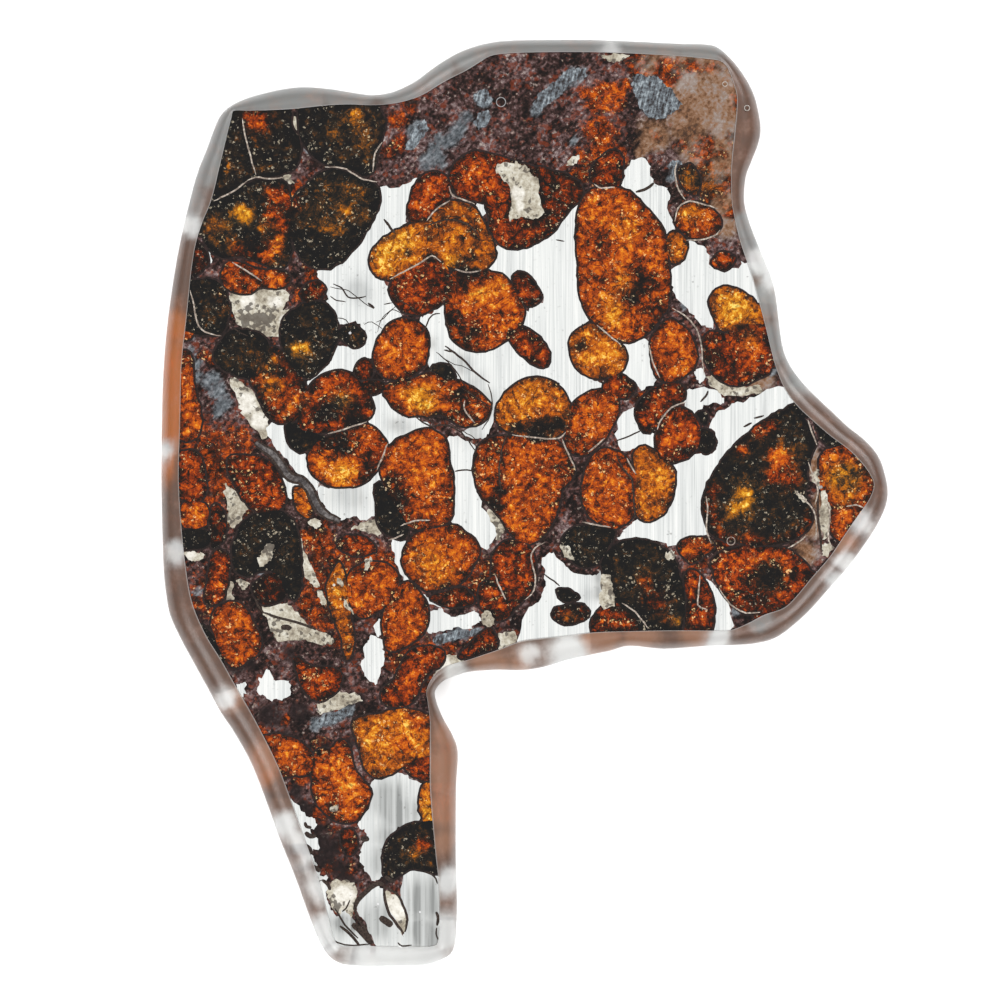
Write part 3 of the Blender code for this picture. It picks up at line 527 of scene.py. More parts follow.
# Soft lights and shades across crystals and rusted stone: x, y, reach and the tone they pull towards
TONE_SPOTS = [
    (256, 118, 15, 0.55), (287, 138, 17, 0.02), (268, 150, 8, 0.2), (245, 170, 14, 0.12),
    (358, 117, 12, 0.6), (335, 135, 10, 0.42), (366, 140, 8, 0.48), (378, 128, 12, 0.3),
    (345, 155, 12, 0.2), (397, 142, 8, 0.5), (389, 152, 7, 0.44), (243, 215, 9, 0.84),
    (231, 222, 8, 0.48), (214, 225, 12, 0.46), (222, 240, 12, 0.38), (248, 237, 17, 0.05),
    (225, 200, 12, 0.12), (255, 195, 12, 0.14), (277, 195, 10, 0.56), (290, 200, 8, 0.56),
    (270, 215, 8, 0.58), (281, 225, 10, 0.54), (262, 226, 6, 0.58), (275, 245, 10, 0.68),
    (270, 260, 10, 0.62), (250, 258, 12, 0.45), (235, 250, 12, 0.36), (340, 190, 14, 0.34),
    (345, 205, 12, 0.36), (347, 215, 7, 0.76), (323, 228, 9, 0.56), (333, 231, 7, 0.72),
    (308, 222, 9, 0.32), (362, 190, 6, 0.55), (366, 215, 8, 0.42), (330, 255, 20, 0.02),
    (352, 235, 12, 0.03), (298, 235, 10, 0.04), (277, 278, 10, 0.76), (240, 280, 12, 0.5),
    (222, 296, 6, 0.6), (226, 311, 6, 0.6), (205, 282, 12, 0.3), (295, 272, 14, 0.36),
    (304, 290, 10, 0.38), (319, 285, 7, 0.52), (302, 350, 9, 0.78), (312, 332, 10, 0.12),
    (480, 168, 12, 0.5), (491, 178, 12, 0.52), (470, 182, 10, 0.48), (498, 195, 9, 0.5),
    (505, 225, 12, 0.5), (522, 232, 12, 0.44), (545, 215, 14, 0.3), (552, 200, 13, 0.24),
    (555, 180, 14, 0.22), (530, 172, 6, 0.5), (428, 202, 8, 0.62), (455, 213, 10, 0.56),
    (425, 215, 8, 0.5), (385, 255, 15, 0.8), (400, 243, 12, 0.8), (412, 237, 10, 0.84),
    (396, 265, 12, 0.72), (413, 255, 12, 0.66), (430, 235, 12, 0.6), (450, 240, 14, 0.6),
    (470, 235, 11, 0.54), (478, 252, 8, 0.6), (452, 260, 8, 0.86), (466, 262, 8, 0.3),
    (432, 260, 9, 0.42), (436, 290, 8, 0.3), (413, 300, 10, 0.54), (462, 282, 11, 0.1),
    (480, 275, 8, 0.14), (496, 285, 12, 0.7), (478, 295, 10, 0.74), (500, 300, 10, 0.68),
    (455, 318, 10, 0.12), (470, 334, 12, 0.28), (490, 325, 10, 0.6), (511, 310, 8, 0.58),
    (522, 292, 6, 0.62), (603, 200, 9, 0.58), (598, 240, 13, 0.44), (626, 225, 15, 0.73),
    (641, 213, 14, 0.66), (651, 240, 14, 0.6), (608, 250, 12, 0.42), (621, 283, 10, 0.74),
    (600, 290, 10, 0.5), (613, 310, 14, 0.78), (641, 283, 14, 0.2), (656, 285, 10, 0.35),
    (630, 298, 8, 0.2), (655, 312, 12, 0.4), (635, 322, 9, 0.5), (690, 212, 8, 0.78),
    (700, 225, 10, 0.58), (735, 225, 13, 0.2), (300, 350, 8, 0.8), (265, 362, 9, 0.5), (279, 372, 8, 0.1),
    (272, 386, 10, 0.52), (279, 397, 8, 0.5), (299, 400, 8, 0.66), (290, 411, 8, 0.6),
    (271, 412, 7, 0.12), (306, 385, 8, 0.14), (344, 380, 11, 0.6), (322, 388, 7, 0.68),
    (340, 402, 10, 0.42), (362, 402, 8, 0.25), (355, 415, 12, 0.1), (325, 412, 12, 0.04),
    (314, 455, 8, 0.6), (322, 470, 10, 0.74), (341, 475, 10, 0.8), (353, 467, 8, 0.7),
    (334, 461, 8, 0.62), (345, 445, 13, 0.04), (329, 440, 8, 0.1), (351, 443, 6, 0.5),
    (373, 455, 10, 0.42), (366, 470, 8, 0.14), (418, 345, 9, 0.74), (398, 355, 10, 0.62),
    (394, 336, 8, 0.5), (425, 400, 13, 0.78), (412, 394, 8, 0.72), (400, 380, 8, 0.6), (446, 405, 8, 0.6),
    (460, 395, 9, 0.3), (458, 415, 8, 0.36), (530, 394, 14, 0.76), (545, 405, 10, 0.7),
    (505, 410, 8, 0.68), (560, 415, 8, 0.62), (538, 428, 12, 0.04), (556, 427, 8, 0.08),
    (519, 430, 7, 0.1), (600, 350, 14, 0.8), (579, 344, 6, 0.26), (591, 410, 10, 0.62),
    (579, 440, 9, 0.38), (598, 430, 8, 0.6), (490, 450, 12, 0.5), (484, 480, 8, 0.52),
    (500, 492, 6, 0.24), (495, 505, 7, 0.1), (531, 478, 12, 0.56), (536, 486, 6, 0.26),
    (561, 470, 12, 0.5), (546, 500, 14, 0.62), (520, 520, 12, 0.58), (551, 450, 10, 0.62),
    (425, 468, 14, 0.68), (431, 480, 9, 0.74), (408, 458, 9, 0.62), (440, 510, 8, 0.56),
    (400, 503, 13, 0.14), (389, 520, 10, 0.1), (394, 480, 8, 0.25), (404, 535, 7, 0.32),
    (430, 560, 14, 0.62), (441, 580, 12, 0.68), (420, 545, 8, 0.68), (452, 550, 10, 0.66),
    (470, 580, 10, 0.36), (608, 480, 14, 0.62), (604, 460, 8, 0.5), (648, 480, 12, 0.73),
    (645, 455, 8, 0.68), (738, 308, 15, 0.8), (750, 340, 8, 0.56), (753, 352, 8, 0.64),
    (738, 335, 8, 0.52), (726, 362, 12, 0.28), (719, 350, 12, 0.32), (760, 370, 10, 0.34),
    (670, 440, 10, 0.62), (691, 435, 8, 0.6), (686, 450, 7, 0.12), (665, 395, 8, 0.5), (651, 420, 6, 0.6),
    (645, 405, 8, 0.28), (778, 458, 11, 0.68), (786, 450, 8, 0.72), (775, 478, 9, 0.56),
    (792, 478, 10, 0.46), (800, 490, 8, 0.38), (757, 432, 8, 0.56), (740, 448, 8, 0.52),
    (768, 425, 7, 0.52), (742, 492, 9, 0.78), (738, 508, 8, 0.84), (747, 501, 8, 0.7),
    (753, 515, 8, 0.36), (712, 490, 8, 0.44), (707, 505, 8, 0.44), (713, 520, 8, 0.42),
    (725, 537, 9, 0.34), (745, 545, 10, 0.46), (765, 547, 10, 0.5), (785, 546, 10, 0.5),
    (804, 535, 8, 0.46), (811, 520, 8, 0.42), (798, 458, 8, 0.3), (840, 475, 12, 0.5),
    (851, 482, 10, 0.44), (845, 496, 10, 0.7), (835, 500, 8, 0.72), (851, 520, 12, 0.56),
    (735, 565, 12, 0.5), (751, 560, 10, 0.5), (771, 576, 12, 0.06), (785, 570, 6, 0.66),
    (796, 576, 8, 0.12), (758, 596, 14, 0.14), (741, 588, 9, 0.3), (728, 590, 8, 0.5),
    (776, 600, 8, 0.36), (798, 590, 8, 0.52), (690, 590, 8, 0.58), (680, 620, 6, 0.8),
    (700, 600, 6, 0.42), (705, 622, 5, 0.6), (646, 583, 7, 0.66), (640, 575, 10, 0.3),
    (630, 601, 12, 0.16), (656, 600, 10, 0.3), (645, 620, 10, 0.16), (668, 620, 8, 0.42),
    (595, 626, 5, 0.6), (307, 670, 8, 0.56), (325, 685, 8, 0.6), (345, 790, 12, 0.76),
    (341, 768, 10, 0.68), (401, 745, 14, 0.66), (380, 760, 10, 0.6), (370, 720, 10, 0.52),
    (416, 722, 12, 0.68), (425, 845, 8, 0.46), (413, 855, 6, 0.52), (275, 745, 10, 0.52),
    (300, 760, 12, 0.56), (428, 863, 4, 0.5), (428, 812, 7, 0.92), (570, 616, 7, 0.5),
    (350, 590, 10, 0.7), (340, 585, 7, 0.84), (585, 92, 12, 0.54), (610, 98, 14, 0.58),
    (625, 90, 10, 0.54), (592, 125, 10, 0.52), (606, 150, 14, 0.48), (618, 165, 12, 0.46),
    (330, 850, 15, 0.2), (340, 872, 12, 0.22), (320, 835, 10, 0.2), (262, 165, 14, 0.28),
    (230, 160, 12, 0.26), (310, 165, 12, 0.33), (372, 158, 10, 0.36), (318, 205, 12, 0.33),
    (345, 225, 10, 0.35), (280, 355, 12, 0.26), (250, 345, 12, 0.2)
]

# Where the stone shines yellow-brown rather than red: x, y, reach and how much
GOLD_SPOTS = [
    (256, 118, 18, 0), (397, 142, 10, 0), (277, 195, 14, 0), (290, 200, 12, 0), (270, 215, 10, 0),
    (281, 225, 12, 0), (275, 245, 12, 0.3), (262, 255, 16, 0.1), (240, 255, 14, 0), (319, 285, 9, 0),
    (222, 300, 10, 0.4), (243, 215, 11, 1), (231, 222, 10, 1), (214, 225, 12, 0.7), (385, 255, 16, 0.75),
    (400, 243, 14, 0.8), (452, 260, 9, 0.9), (496, 285, 12, 0.3), (478, 295, 10, 0.4),
    (425, 400, 14, 0.9), (412, 394, 8, 0.6), (530, 394, 15, 0.6), (545, 405, 12, 0.3),
    (600, 350, 15, 0.4), (345, 790, 12, 0.1), (401, 745, 14, 0.1), (344, 380, 12, 0), (373, 455, 12, 0),
    (334, 465, 20, 0.2), (341, 475, 12, 0.5), (430, 562, 20, 0.4), (441, 580, 14, 0.4), (745, 500, 16, 1),
    (778, 458, 14, 0), (775, 478, 12, 0), (792, 478, 12, 0), (757, 432, 10, 0), (740, 448, 10, 0),
    (768, 425, 9, 0), (712, 490, 10, 0), (707, 505, 10, 0), (713, 520, 10, 0), (725, 537, 12, 0),
    (750, 545, 12, 0), (775, 546, 12, 0), (800, 537, 10, 0), (811, 520, 10, 0), (840, 475, 14, 1),
    (851, 482, 12, 0.9), (845, 496, 10, 0.5), (771, 576, 14, 0.6), (646, 583, 9, 0.2), (655, 600, 14, 0),
    (668, 620, 10, 0.4), (735, 565, 12, 0), (425, 845, 10, 0), (738, 308, 18, 0.8), (750, 340, 10, 0.4),
    (265, 362, 14, 0.7), (300, 350, 12, 1), (272, 386, 12, 0.6), (290, 411, 10, 0.2), (300, 400, 10, 0.2),
    (340, 402, 12, 0.9), (690, 212, 10, 0.6), (710, 181, 16, 0.6), (690, 178, 14, 0.8),
    (570, 616, 9, 0.6), (340, 585, 9, 0.7), (680, 620, 8, 1), (303, 503, 10, 0.3), (428, 812, 8, 1),
    (416, 722, 12, 0.1), (621, 283, 12, 0.4), (613, 310, 14, 0.6), (626, 225, 15, 0.3)
]


def pulled(value, spots):
    """A mark that starts from this value and is pulled towards each spot's own."""
    def measure(point, depth):
        result = value
        uneven = warped(point)
        for x, y, reach, wanted in spots:
            result += (wanted - result) * nearness(uneven, x, y, reach)
        return result
    return measure


# Bright metal and painted highlights at the ground edge in some places, grey haze in others, whatever lies
# beside them
metal_and_painted_highlights = spotted([(285, 825, 15), (226, 697, 12), (189, 226, 13), (568, 652, 22), (862, 522, 14),
                      (838, 582, 12), (165, 455, 12), (175, 552, 12), (762, 262, 14), (770, 280, 10),
                      (320, 890, 16), (306, 860, 12), (612, 52, 12), (716, 640, 14), (530, 656, 12),
                      (455, 670, 12), (330, 935, 22), (440, 930, 20), (380, 955, 40), (845, 560, 10),
                      (295, 842, 12), (420, 955, 30), (447, 880, 14)])
grey_edge = spotted([(250, 97, 24), (300, 97, 30), (350, 105, 30), (400, 95, 30), (450, 65, 30),
                     (500, 47, 30), (550, 42, 40), (610, 42, 40), (670, 44, 40), (720, 50, 20),
                     (205, 150, 24), (195, 190, 20), (800, 390, 24), (830, 420, 24), (780, 360, 20),
                     (765, 310, 14), (755, 200, 14), (750, 230, 16)])
shared_marks = {"shine": lambda point, depth: metal_and_painted_highlights(point, depth) if depth == 0 else 0,
                "haze": lambda point, depth: grey_edge(point, depth) if depth == 0 else 0}


def seams(where, scale, width):
    """1 on the thin seams between angular grains and 0 inside them."""
    cells = where.make("ShaderNodeTexVoronoi", {"feature": "DISTANCE_TO_EDGE"},
                       {"Vector": where, "Scale": scale})
    return 1 - stepped(cells, 0.0, width)


def olivine_colour(where, tone):
    """Olivine from black through red-brown and orange to gold, flecked and crazed, with painted glints."""
    swirl = where.make("ShaderNodeTexNoise", {}, {"Vector": where, "Scale": 0.6, "Detail": 3.0}, "Color")
    bent = where.make("ShaderNodeVectorMath", {"operation": "MULTIPLY_ADD"},
                      {0: swirl, 1: (2.2, 2.2, 0), 2: where})
    coarse = grains(bent, 1.9) - 0.5
    fine = grains(bent, 4.8)
    dust = cloud(where, 6.5, 3.0, 0.75)
    crazing = seams(bent, 0.8, 0.06)
    value = (tone + cloud(where, 0.5, 3.0) * 0.6 + cloud(where, 1.5, 3.0) * 1.05 + coarse * 0.24
             + (fine - 0.5) * 0.2 + dust * 0.65 - crazing * 0.16 - 0.02)
    warm = ramp(value, [
        (0.0, (0.003, 0.002, 0.002)), (0.2, (0.010, 0.004, 0.002)), (0.36, (0.052, 0.007, 0.001)),
        (0.5, (0.155, 0.018, 0.001)), (0.62, (0.275, 0.038, 0.001)), (0.76, (0.390, 0.078, 0.002)),
        (0.89, (0.480, 0.165, 0.008)), (1.0, (0.560, 0.310, 0.050))])
    golden = ramp(value, [
        (0.0, (0.003, 0.003, 0.003)), (0.2, (0.010, 0.008, 0.005)), (0.36, (0.034, 0.018, 0.006)),
        (0.5, (0.105, 0.042, 0.004)), (0.62, (0.220, 0.070, 0.002)), (0.76, (0.360, 0.130, 0.003)),
        (0.89, (0.480, 0.240, 0.014)), (1.0, (0.600, 0.440, 0.100))])
    colour = blend(mark(where, "gold"), warm, golden)
    pits = stepped(grains(bent, 3.4) - dust * 0.6, 0.86, 0.96)
    pitted = blend(pits * 0.5, colour, (0.006, 0.004, 0.003))
    lit = stepped(tone, 0.15, 0.5)
    # Pale specks in the crystal, with painted sparkle highlights of the polish mixed in
    sparkle_and_speck_tint = blend(lit, (0.34, 0.29, 0.21), (0.68, 0.44, 0.18))
    sparkle_and_speck = stepped(grains(where, 5.0) + dust * 0.9 + cloud(where, 0.7) * 0.6, 0.97, 1.08) * 0.7
    return blend(sparkle_and_speck, pitted, sparkle_and_speck_tint), fine + dust - crazing - pits


def with_edge(where, colour):
    """The colour with the bright metal, painted highlights and grey haze of the ground edge mixed in."""
    patchy = cloud(where, 0.8) * 0.5
    greyed = blend(stepped(mark(where, "haze") + patchy, 0.2, 0.9) * 0.75, colour, (0.16, 0.16, 0.155))
    # Whitish where the ground edge shows bright metal and painted highlights
    return blend(stepped(mark(where, "shine") + patchy, 0.25, 0.9), greyed, (0.70, 0.69, 0.67))


def make_olivine(name):
    """The finish of crystals, which follows the marks of their tone, gold and depth."""
    material, shader, where = start_material(name)
    tone = mark(where, "tone") - (1 - stepped(mark(where, "depth"), 0.0, 0.8)) * 0.2
    colour, bumps = olivine_colour(where, tone)
    paint(shader, {"Base Color": with_edge(where, colour), "Roughness": cloud(where, 2.0) * 0.15 + 0.2,
                   "IOR": 1.65, "Transmission Weight": 0.1, "Specular IOR Level": 0.12,
                   "Coat Weight": 0.04, "Coat Roughness": 0.05,
                   "Normal": relief(where, bumps, 0.12, 0.00004)})
    return material


olivine_finish = {slot: make_olivine(slot) for slot in SLOT_TONES}


def run_over_edge(loop):
    """The loop with the points that lie on the face's border moved well outside it."""
    moved = []
    for point in loop:
        index = min(range(len(border)), key=lambda one: (border[one] - point).length)
        ahead = border[(index + 1) % len(border)]
        distance = min((geometry.intersect_point_line(point, one, other)[0] - point).length
                       for one, other in ((border[index - 1], border[index]), (border[index], ahead)))
        if distance < EDGE_NEAR or (border[index] - point).length < EDGE_NEAR:
            point = point + (foot[index] - border[index]).normalized() * WELL_OUT
        moved.append(point)
    return moved


def tone_marks(tone, gold):
    """The marks of a crystal of this tone, this far towards gold."""
    return {"tone": pulled(tone, TONE_SPOTS), "gold": pulled(gold, GOLD_SPOTS),
            "depth": lambda point, depth: depth / MM, **shared_marks}


slot_of = {part["node"]: part["material_slot"] for part in frame["record"]["subparts"]}
crystal_outlines = []
for name in sorted(slot_of):
    if name.startswith("olivine_"):
        slot = slot_of[name]
        outline = wavy(smoothed(loops_at(name, FACE_HEIGHT)[0], LARGE_STEPS), OUTLINE_SWAY)
        outline = shifted(run_over_edge(wavy(outline, CHIPPED_SWAY, FINE_WAVES)), GROWN)
        crystal_outlines.append(outline)
        plan(name.replace("olivine", "crystal"), [outline], olivine_finish[slot], slot, CRYSTAL_DROP,
             tone_marks(SLOT_TONES[slot], SLOT_GOLDS[slot]), name)
for name, (tone, points) in SMALL_CRYSTALS.items():
    slot = min(SLOT_TONES, key=lambda one: abs(SLOT_TONES[one] - tone))
    outline = smoothed(turned_left([place(x, y) for x, y in points]), SMALL_STEPS)
    outline = wavy(wavy(outline, OUTLINE_SWAY), CHIPPED_SWAY, FINE_WAVES)
    crystal_outlines.append(outline)
    plan(name, [outline], olivine_finish[slot], slot, CRYSTAL_DROP, tone_marks(tone, SLOT_GOLDS[slot]))

# The dark rinds
# A thin seam of dark altered mineral runs round every crystal, a hair below the polish. It is a wider copy of
# each crystal, noted after them, which leaves it their margins.
RIND = 2.2 * UNIT
rind_finish, shader, where = start_material("dark_rind")
rind_grain = cloud(where, 3.0)
paint(shader, {"Roughness": 0.55, "Specular IOR Level": 0.1,
               "Normal": relief(where, cloud(where, 8.0), 0.3, 0.00003),
               "Base Color": with_edge(where, ramp(rind_grain + 0.5, [
                   (0.3, (0.005, 0.004, 0.004)), (0.6, (0.015, 0.009, 0.008)),
                   (0.8, (0.045, 0.02, 0.016))]))})
plan("dark_rinds", [shifted(outline, RIND) for outline in crystal_outlines], rind_finish, "metal",
     drop=0.04 * MM, marks=shared_marks)

# The fresh metal
# Bright iron-nickel fills the room between the crystals where it hasn't rusted, ground in straight lines up
# and down the slice. Each patch is drawn wide, and the crystals cut its outline where they meet it.
METAL_PATCHES = [
    [(284, 800), (293, 801), (299, 808), (305, 815), (313, 820), (317, 828), (310, 832), (318, 839),
     (319, 848), (311, 853), (315, 862), (318, 872), (328, 880), (326, 896), (330, 908), (338, 920),
     (346, 934), (352, 946), (356, 954), (336, 960), (316, 920), (296, 880), (280, 830)],
    [(378, 186), (395, 188), (417, 179), (414, 190), (411, 204), (406, 218), (402, 232), (392, 240),
     (380, 250), (370, 260), (374, 275), (384, 282), (389, 292), (396, 304), (402, 316), (392, 322),
     (382, 334), (374, 358), (362, 360), (354, 372), (340, 371), (326, 374), (312, 388), (305, 386),
     (318, 372), (331, 360), (337, 346), (358, 346), (366, 334), (356, 322), (338, 324), (334, 312),
     (327, 300), (325, 285), (318, 273), (340, 264), (355, 248), (369, 226), (376, 206)],
    [(482, 273), (492, 262), (498, 245), (520, 248), (540, 240), (558, 224), (564, 212), (580, 202),
     (576, 222), (577, 262), (580, 300), (590, 318), (578, 328), (570, 345), (575, 362), (590, 378),
     (602, 386), (592, 394), (572, 404), (562, 388), (545, 378), (520, 382), (503, 396), (496, 412),
     (490, 430), (478, 440), (462, 432), (478, 424), (490, 412), (474, 390), (456, 378), (446, 364),
     (430, 368), (426, 350), (428, 336), (418, 320), (432, 312), (446, 298), (448, 324), (460, 346),
     (480, 352), (502, 344), (518, 328), (526, 312), (540, 304), (542, 294), (528, 276), (510, 280),
     (496, 272)],
    [(448, 438), (462, 438), (478, 450), (474, 470), (478, 494), (488, 516), (496, 534), (486, 548),
     (474, 542), (462, 529), (452, 522), (452, 500), (452, 474), (446, 458)],
    [(372, 390), (384, 388), (388, 402), (398, 412), (412, 416), (422, 420), (432, 430), (410, 438),
     (396, 442), (386, 452), (376, 430), (368, 420), (374, 408)],
    [(318, 487), (344, 488), (368, 478), (378, 470), (382, 484), (376, 500), (378, 512), (366, 520),
     (352, 517), (338, 519), (329, 511), (322, 500)],
    [(268, 426), (284, 422), (290, 446), (306, 454), (310, 466), (318, 482), (315, 490), (304, 480),
     (292, 466), (282, 454), (270, 440)],
    [(279, 474), (290, 483), (299, 482), (297, 494), (292, 500), (285, 495)],
    [(262, 676), (271, 668), (274, 680), (288, 681), (291, 692), (282, 699), (268, 699), (258, 688)],
    [(236, 687), (244, 684), (245, 694), (240, 697)],
    [(366, 642), (374, 636), (384, 646), (383, 664), (377, 684), (366, 678), (362, 660)],
    [(374, 626), (380, 619), (382, 634), (376, 634)],
    [(391, 540), (402, 538), (406, 545), (402, 562), (412, 584), (430, 598), (446, 604), (436, 607),
     (420, 596), (402, 578), (394, 556)],
    [(428, 614), (440, 608), (452, 616), (476, 611), (480, 622), (468, 628), (448, 628), (432, 634),
     (426, 624)],
    [(542, 560), (553, 553), (568, 568), (590, 577), (602, 572), (612, 598), (604, 610), (592, 624),
     (588, 636), (564, 640), (540, 642), (520, 645), (524, 616), (540, 598), (546, 578)],
    [(670, 464), (690, 456), (714, 452), (717, 438), (710, 424), (728, 406), (750, 399), (780, 386),
     (796, 408), (780, 410), (760, 424), (735, 446), (716, 468), (704, 496), (704, 512), (708, 534),
     (690, 536), (672, 546), (650, 539), (622, 541), (622, 532), (636, 520), (660, 516), (674, 490)],
    [(706, 580), (718, 588), (730, 606), (730, 632), (708, 632), (713, 606)],
    [(683, 398), (692, 389), (716, 391), (724, 402), (706, 404), (698, 413), (686, 406)],
    [(694, 372), (703, 370), (703, 382), (697, 378)],
    [(618, 420), (634, 408), (640, 424), (656, 436), (656, 448), (636, 450), (620, 448)],
    [(622, 346), (640, 338), (650, 346), (658, 376), (644, 388), (630, 382), (620, 374)],
    [(626, 166), (638, 157), (650, 164), (652, 180), (668, 190), (668, 208), (676, 226), (668, 234),
     (654, 220), (634, 200), (624, 186)],
    [(686, 242), (704, 247), (712, 266), (732, 270), (748, 264), (760, 300), (762, 310), (738, 291),
     (716, 289), (709, 302), (714, 328), (702, 324), (684, 306), (672, 288), (668, 272), (682, 262)],
    [(477, 201), (486, 201), (487, 210), (481, 216)],
    [(202, 245), (210, 251), (212, 260), (205, 264)],
    [(372, 780), (396, 772), (412, 780), (424, 786), (420, 806), (418, 822), (398, 828), (386, 846),
     (384, 872), (377, 880), (364, 868), (360, 852), (367, 834), (358, 824), (366, 806)],
    [(406, 872), (420, 867), (442, 870), (446, 900), (446, 952), (408, 952), (404, 936), (408, 918),
     (400, 898)],
    [(356, 906), (366, 892), (380, 886), (385, 902), (400, 928), (404, 952), (382, 952), (372, 936),
     (364, 920)],
    [(340, 912), (350, 916), (358, 926), (366, 938), (372, 952), (356, 958), (344, 950), (336, 928)],
]
streaky_metal = spotted([(385, 800, 24), (398, 815, 20), (392, 840, 22), (380, 860, 18), (425, 900, 26),
                         (375, 920, 22), (425, 935, 20), (345, 925, 14), (310, 870, 14)])
dull_metal = spotted([(350, 495, 20), (600, 592, 12), (358, 290, 14), (460, 365, 14), (475, 385, 14),
                      (486, 405, 14), (470, 430, 14), (480, 440, 10), (432, 345, 10), (400, 425, 12),
                      (600, 575, 12)])
metal_finish, shader, where = start_material("ground_iron")
lines_fine = cloud(where, 1.0, 3.0, 0.6, (8.0, 0.10, 1.0))
lines_broad = cloud(where, 1.0, 2.0, 0.5, (1.6, 0.03, 1.0))
pitting = stepped(cloud(where, 2.0, 5.0, 0.7), 0.12, 0.24)
dull = mark(where, "dull")
bright = ramp(lines_fine * 0.45 + lines_broad * (dull * 0.7 + 0.15) + 0.5, [
    (0.30, (0.24, 0.25, 0.25)), (0.5, (0.48, 0.49, 0.48)), (0.62, (0.60, 0.60, 0.58))])
streaks = lines_broad * 3.0 + lines_fine * 1.2 + 0.75
greyed = dull * (lines_broad * 1.6 + 0.4) + mark(where, "streaky") * streaks
greyer = blend(greyed, bright, (0.17, 0.175, 0.17))
speckled = stepped(grains(where, 6.0) + cloud(where, 0.8) * 0.5, 0.99, 1.1) * 0.5
paint(shader, {"Metallic": 0.4, "Roughness": 0.42,
               "Base Color": blend(pitting * 0.45, blend(speckled, greyer, (0.06, 0.055, 0.05)),
                                   (0.16, 0.15, 0.14)),
               "Normal": relief(where, lines_fine, 0.3, 0.00003)})
plan("fresh_metal", [patch(points) for points in METAL_PATCHES], metal_finish, "metal", drop=0.01 * MM,
     marks={"dull": dull_metal, "streaky": streaky_metal})

# The pale altered mineral
# Here and there between the crystals a grain has weathered to cream or tan, specked with rust, and takes a
# duller polish. It has the finish of the pale grains in the crystals.
PALE_PATCHES = [
    [(230, 380), (242, 381), (256, 398), (268, 420), (269, 434), (262, 438), (250, 424), (240, 408)],
    [(229, 292), (246, 293), (266, 285), (288, 293), (283, 308), (278, 328), (272, 338), (240, 327),
     (232, 312)],
    [(282, 312), (291, 311), (286, 322), (275, 338)],
    [(225, 486), (233, 488), (249, 506), (242, 516), (236, 528), (229, 524), (227, 504)],
    [(262, 606), (286, 604), (298, 614), (318, 632), (333, 637), (328, 645), (304, 640), (280, 642),
     (270, 628)],
    [(334, 691), (352, 693), (362, 700), (340, 708), (318, 714), (322, 702)],
    [(184, 553), (194, 552), (204, 554), (198, 563), (190, 561)],
    [(487, 510), (496, 513), (505, 527), (499, 540), (492, 528)],
    [(503, 634), (514, 632), (517, 642), (500, 650), (497, 642)],
    [(437, 664), (448, 655), (462, 657), (458, 672), (444, 684), (434, 676)],
    [(227, 584), (233, 584), (233, 604), (227, 600)], [(236, 580), (250, 582), (243, 589)],
    [(298, 532), (305, 550), (318, 583), (311, 584), (302, 566)],
    [(330, 884), (346, 880), (358, 890), (354, 914), (342, 916), (328, 900)],
    [(386, 890), (402, 900), (406, 920), (402, 934), (390, 918)],
    [(289, 125), (294, 116), (300, 122), (298, 131)],
    [(598, 55), (604, 59), (612, 62), (622, 60), (628, 56), (614, 54)],
    [(706, 377), (716, 376), (730, 384), (745, 388), (758, 384), (760, 392), (740, 396), (722, 394),
     (710, 386)],
    [(566, 165), (574, 155), (580, 158), (572, 165)],
    [(282, 176), (290, 174), (293, 181), (286, 183)], [(310, 520), (322, 519), (320, 526), (312, 528)],
    [(350, 530), (364, 522), (378, 520), (384, 528), (376, 534), (362, 531)],
    [(797, 558), (806, 560), (812, 572), (806, 572)], [(822, 545), (834, 545), (828, 556), (822, 554)],
    [(476, 638), (486, 636), (482, 652), (477, 650)],
]
plan("pale_mineral", [patch(points) for points in PALE_PATCHES], pale_finish, "metal", drop=0.02 * MM,
     marks=pale_marks)

# The blue-grey oxide
# A few grains of the metal have altered to blue-grey oxide that shows its grinding lines. They are bedded in
# the dark oxide and go down through the slice.
BLUE_PATCHES = [
    [(532, 106), (536, 98), (543, 91), (550, 85), (557, 78), (566, 72), (577, 68), (584, 69), (586, 75),
     (580, 78), (573, 82), (566, 88), (560, 95), (552, 101), (545, 108), (537, 113)],
    [(633, 77), (645, 76), (660, 76), (665, 84), (673, 93), (680, 102), (679, 108), (672, 114), (660, 119),
     (650, 117), (640, 108), (635, 98), (633, 88)],
    [(474, 94), (482, 90), (490, 93), (492, 101), (486, 107), (478, 104)],
    [(316, 722), (324, 716), (336, 712), (350, 709), (352, 713), (342, 719), (330, 724), (320, 727)],
    [(434, 640), (444, 634), (460, 631), (478, 630), (482, 634), (466, 637), (450, 642), (438, 645)],
    [(668, 166), (678, 160), (684, 166), (679, 176), (672, 180)],
    [(406, 147), (411, 134), (417, 125), (426, 119), (427, 131), (421, 139), (413, 149)],
    [(475, 120), (482, 111), (490, 114), (488, 124), (478, 128)],
]
blue_finish, shader, where = start_material("blue_oxide")
blue_lean = where.make("ShaderNodeMapping", {}, {"Vector": where, "Rotation": (0, 0, 0.25)})
blue_lines = cloud(blue_lean, 1.0, 4.0, 0.65, (5.0, 0.7, 1.0))
blue_grain = cloud(where, 3.0, 5.0, 0.7)
paint(shader, {"Roughness": 0.5, "Specular IOR Level": 0.1,
               "Normal": relief(where, blue_grain, 0.25, 0.00004),
               "Base Color": ramp(blue_lines * 1.1 + blue_grain * 1.3 + cloud(where, 0.8) * 0.7 + 0.5, [
                   (0.28, (0.016, 0.013, 0.013)), (0.44, (0.050, 0.054, 0.060)),
                   (0.60, (0.100, 0.116, 0.128)), (0.80, (0.22, 0.245, 0.26))])})
plan("blue_oxide", [patch(points) for points in BLUE_PATCHES], blue_finish, "metal", drop=0.03 * MM)

